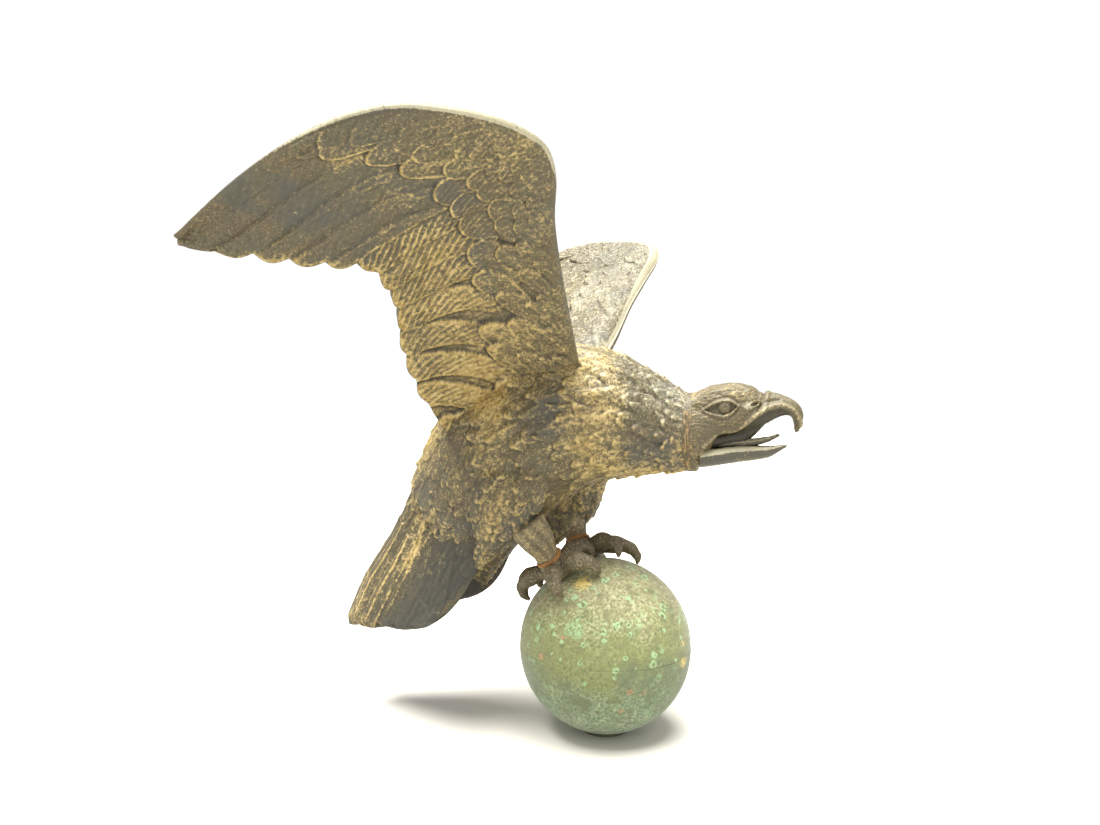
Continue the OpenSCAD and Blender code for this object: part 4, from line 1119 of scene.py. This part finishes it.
rustWire = plainMetal("rustyWire", {"seed": 7.0, "metal": colour(170, 122, 72), "stain": colour(140, 98, 58),
                                    "spot": colour(200, 158, 106), "rough": 0.5, "metallic": 0.1})
for hand, side in ((-1, "right"), (1, "left")):
    makeFoot(hand, side + "_foot", 50 + hand)
    makeLeg(hand, side + "_leg", 60 + hand)
    makeWire(hand, side + "_ankle_ring")
print("legs and feet made")


# ball
def verdigris():
    material, (add, times, plus, minus, smooth, blend) = newMaterial("verdigris")
    place = add("ShaderNodeTexCoord").outputs["Object"]
    parts = add("ShaderNodeSeparateXYZ", {"Vector": place})
    warp = add("ShaderNodeTexNoise", {"Vector": place, "Scale": 22.0, "Detail": 5.0, "Roughness": 0.6})
    tall = plus(times(parts.outputs["Z"], 6.6), times(minus(warp.outputs["Fac"], 0.5), 0.55))
    fine, mid, wide = (
        add("ShaderNodeTexNoise", {"Vector": place, "Scale": scale, "Detail": detail, "Roughness": rough}).outputs[0]
        for scale, detail, rough in ((420.0, 4.0, 0.7), (95.0, 5.0, 0.65), (38.0, 4.0, 0.6)))
    calm = times(smooth(tall, 0.3, 0.5), smooth(tall, 0.74, 0.58))
    busy = minus(1.0, times(calm, 0.75))
    base = blend(smooth(tall, 0.26, 0.52), colour(142, 166, 136), colour(142, 149, 97))
    base = blend(smooth(tall, 0.6, 0.86), base, colour(168, 161, 123))
    base = blend(smooth(mid, 0.5, 0.7), base, colour(134, 136, 98))
    base = blend(smooth(fine, 0.47, 0.37), base, colour(118, 126, 92))
    cream = times(smooth(fine, 0.49, 0.6), smooth(mid, 0.62, 0.44))
    base = blend(times(cream, busy), base, colour(198, 202, 160))
    blots = add("ShaderNodeTexNoise", {"Vector": place, "Scale": 60.0, "Detail": 5.0, "Roughness": 0.7,
                "Distortion": 0.6}).outputs["Fac"]
    mint = times(smooth(wide, 0.5, 0.66), smooth(blots, 0.48, 0.62))
    mint = times(mint, smooth(fine, 0.38, 0.56))
    base = blend(times(mint, busy), base, colour(170, 208, 158))
    lower = times(smooth(tall, 0.56, 0.4), smooth(tall, 0.12, 0.27))
    lower = times(lower, smooth(warp.outputs["Fac"], 0.6, 0.42))
    base = blend(times(lower, 0.6), base, colour(112, 126, 96))
    # paler speckle near the bottom of the ball
    paleNearBottom = times(smooth(tall, 0.3, 0.08), smooth(fine, 0.44, 0.56))
    base = blend(times(paleNearBottom, 0.75), base, colour(196, 210, 172))
    # corrosion rings of two sizes
    upper = plus(smooth(tall, 0.36, 0.56), 0.25, True)
    for scale, share in ((72.0, 0.4), (115.0, 0.5)):
        cells = add("ShaderNodeTexVoronoi", {"Vector": place, "Scale": scale, "Randomness": 1.0})
        away = cells.outputs["Distance"]
        pick = add("ShaderNodeSeparateColor", {"Color": cells.outputs["Color"]}).outputs[0]
        ring = times(smooth(away, 0.1, 0.18), smooth(away, 0.32, 0.2))
        ring = times(ring, smooth(pick, share, share + 0.06))
        ring = times(ring, smooth(fine, 0.38, 0.5))
        ring = times(ring, upper)
        base = blend(times(ring, 0.85), base, colour(178, 218, 166))
        middle = times(smooth(away, 0.14, 0.06), smooth(pick, share, share + 0.06))
        base = blend(times(middle, 0.6), base, colour(96, 106, 74))
    spots = add("ShaderNodeAttribute", attribute_name="bare").outputs["Fac"]
    bare = smooth(plus(spots, minus(fine, 0.5)), 0.42, 0.56)
    base = blend(times(bare, 0.85), base, colour(206, 148, 118))
    gilt = add("ShaderNodeAttribute", attribute_name="gilt").outputs["Fac"]
    base = blend(smooth(plus(gilt, minus(fine, 0.5)), 0.35, 0.6), base, colour(232, 208, 128))
    rough = plus(0.5, times(fine, 0.3))
    bump = add("ShaderNodeBump", {"Height": plus(plus(mid, ring), fine), "Strength": 0.45, "Distance": 0.0006})
    shader = add("ShaderNodeBsdfPrincipled", {
        "Base Color": base, "Roughness": rough, "Normal": bump.outputs["Normal"],
        "Sheen Weight": 0.4, "Sheen Roughness": 0.4})
    add("ShaderNodeOutputMaterial", {"Surface": shader.outputs[0]})
    return material


ballMetal = verdigris()
ballSet = {
    "radius": 75.0, "wall": 1.6, "rings": 150, "innerRings": 10, "sides": 560, "mouth": 21.05, "lip": 0.03,
    "copper": [
        [-39.4, -63.7, 4.6, 5, 0.6], [-19.3, -68.6, 23.5, 3.5, 0.6], [35.1, -64.1, -16.9, 6, 0.55],
        [44, -57, -19, 5, 0.5], [26.9, -60.5, -35.2, 5, 0.55], [14, -66, -16, 4, 0.5], [5.2, -42.4, 61.6, 6, 0.3],
        [-30, 60, 33, 6, 0.5], [-62, 38, -10, 5, 0.55], [50, 52, 18, 5, 0.5]],
    "gilt": [[72.1, -20.3, -3.6, 9, 0.6], [71, -19, 12, 8, 0.5], [-10.7, -40, 62.5, 13, 0.6], [-60, 20, 40, 7, 0.4]],
}


def ballSpots(skin, spots):
    # worn spots: middle of each, its width, and how strong it is
    total = np.zeros(len(skin))
    for x, y, z, width, strength in spots:
        away = np.linalg.norm(skin - [x, y, z], axis=1)
        total = np.maximum(total, strength * bell(away / width))
    return total


def makeBall(name, upper, node, seed):
    radius, rings, sides = ballSet["radius"], ballSet["rings"], ballSet["sides"]
    low = math.asin(ballSet["lip"] / radius)
    if upper:
        tilt = np.linspace(math.pi / 2 - 0.001, low, rings)
    else:
        tilt = np.linspace(-low, -math.acos(ballSet["mouth"] / radius), rings)
    tt, aa = grid(tilt, turn(sides))
    way = np.stack([np.cos(tt) * np.cos(aa), np.cos(tt) * np.sin(aa), np.sin(tt)], -1).reshape(-1, 3)
    dent = -0.45 * np.clip(layeredNoise(way * radius, 26, seed), -0.2, 1)
    dent -= 0.1 * np.abs(layeredNoise(way * radius, 5, seed + 3, 2))
    seam = -0.1 * bell(way[:, 2] * radius / 0.5)
    skin = way * (radius + np.minimum(dent + seam, 0))[:, None] + [0, 0, radius]
    keep = np.unique(np.linspace(0, rings - 1, ballSet["innerRings"]).astype(int))
    inner = (way * (radius - ballSet["wall"])).reshape(rings, sides, 3)[keep].reshape(-1, 3) + [0, 0, radius]
    count = len(skin)
    outerFaces = gridFaces(rings, sides, True)
    innerFaces = gridFaces(len(keep), sides, True, count)[:, ::-1]
    i = np.arange(sides)
    k = (i + 1) % sides
    first = np.stack([i, k, k + count, i + count], 1)
    lastOut, lastIn = (rings - 1) * sides, count + (len(keep) - 1) * sides
    last = np.stack([lastOut + k, lastOut + i, lastIn + i, lastIn + k], 1)
    values = {"bare": ballSpots(skin - [0, 0, radius], ballSet["copper"]),
              "gilt": ballSpots(skin - [0, 0, radius], ballSet["gilt"])}
    faces = np.concatenate([outerFaces, innerFaces, first, last])
    newPiece(name, np.concatenate([skin, inner]), faces, values, ballMetal, "vane", [node])


makeBall("ballTop", True, "ball_upper_half", 71)
makeBall("ballBottom", False, "ball_lower_half", 72)
print("ball made")


# bearing, rods and nuts: the frame's own meshes
brass = plainMetal("agedBrass", {"seed": 5.0, "metal": colour(196, 158, 92), "stain": colour(138, 108, 66),
                                 "spot": colour(112, 122, 88), "rough": 0.26, "metallic": 0.9})
steel = plainMetal("steel", {"seed": 6.0, "metal": colour(176, 178, 180), "stain": colour(140, 138, 134),
                             "spot": colour(120, 100, 84), "rough": 0.2, "metallic": 1.0})
dullBrass = plainMetal("dullBrass", {"seed": 9.0, "metal": colour(122, 124, 92), "stain": colour(104, 116, 88),
                                     "spot": colour(150, 168, 128), "rough": 0.5, "metallic": 0.3})
nodeLooks = {
    "ball_band": ballMetal,
    "bottom_ferrule": dullBrass, "bearing_tube": brass, "tube_cap": brass, "lower_bush": brass,
    "upper_bush": brass,
}
for name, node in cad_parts.items():
    look = nodeLooks.get(name, steel)
    if not node.material_slots:
        node.data.materials.append(look)
    for place in node.material_slots:
        place.material = look
print("bearing and bindings finished")

# camera, floor and light
camera = linkObject("camera", bpy.data.cameras.new("camera"))
camera.location = (0.1644, -0.726, 0.3035)
look = Vector((-0.2838, 0.9583, -0.0331))
camera.rotation_euler = look.to_track_quat("-Z", "Y").to_euler()
camera.data.lens = 36 * 850 / 1100
camera.data.sensor_width = 36
bpy.context.scene.camera = camera

floorMesh = bpy.data.meshes.new("floor")
floorMesh.from_pydata([(-6, -6, 0), (6, -6, 0), (6, 6, 0), (-6, 6, 0)], [], [(0, 1, 2, 3)])
floor = linkObject("floor", floorMesh)
paper = bpy.data.materials.new("whiteFloor")
paper.use_nodes = True
add, times, plus, minus, smooth, blend = nodeTools(paper.node_tree)
seen = add("ShaderNodeLightPath").outputs["Is Camera Ray"]
tone = blend(seen, (0.42, 0.41, 0.38, 1), (0.9, 0.88, 0.84, 1))
paper.node_tree.links.new(tone, paper.node_tree.nodes["Principled BSDF"].inputs["Base Color"])
paper.node_tree.nodes["Principled BSDF"].inputs["Roughness"].default_value = 0.9
floorMesh.materials.append(paper)

sky = bpy.data.lights.new("overhead", "SUN")
sky.energy = 9.4
sky.angle = math.radians(50)
sky.color = (1, 0.98, 0.92)
linkObject("overhead", sky).rotation_euler = (math.radians(6), math.radians(-6), 0)
front = bpy.data.lights.new("front", "AREA")
front.shape = "DISK"
front.size = 1.6
front.energy = 8
front.color = (1, 0.98, 0.95)
lamp = linkObject("front", front)
lamp.location = (0.9, -1.9, 1.1)
lamp.rotation_euler = (Vector((0, 0, 0.25)) - Vector((0.9, -1.9, 1.1))).to_track_quat("-Z", "Y").to_euler()

world = bpy.data.worlds.new("studio")
bpy.context.scene.world = world
world.use_nodes = True
tree = world.node_tree
tree.nodes.clear()
add = nodeTools(tree)[0]
rays = add("ShaderNodeLightPath")
glow = add("ShaderNodeBackground", {"Color": (1, 0.985, 0.95, 1), "Strength": 0.45})
white = add("ShaderNodeBackground", {"Color": (1, 1, 1, 1), "Strength": 1.05})
both = add("ShaderNodeMixShader", {0: rays.outputs["Is Camera Ray"], 1: glow.outputs[0], 2: white.outputs[0]})
add("ShaderNodeOutputWorld", {"Surface": both.outputs[0]})
bpy.context.scene.view_settings.view_transform = "Standard"
print("camera, floor and light set")
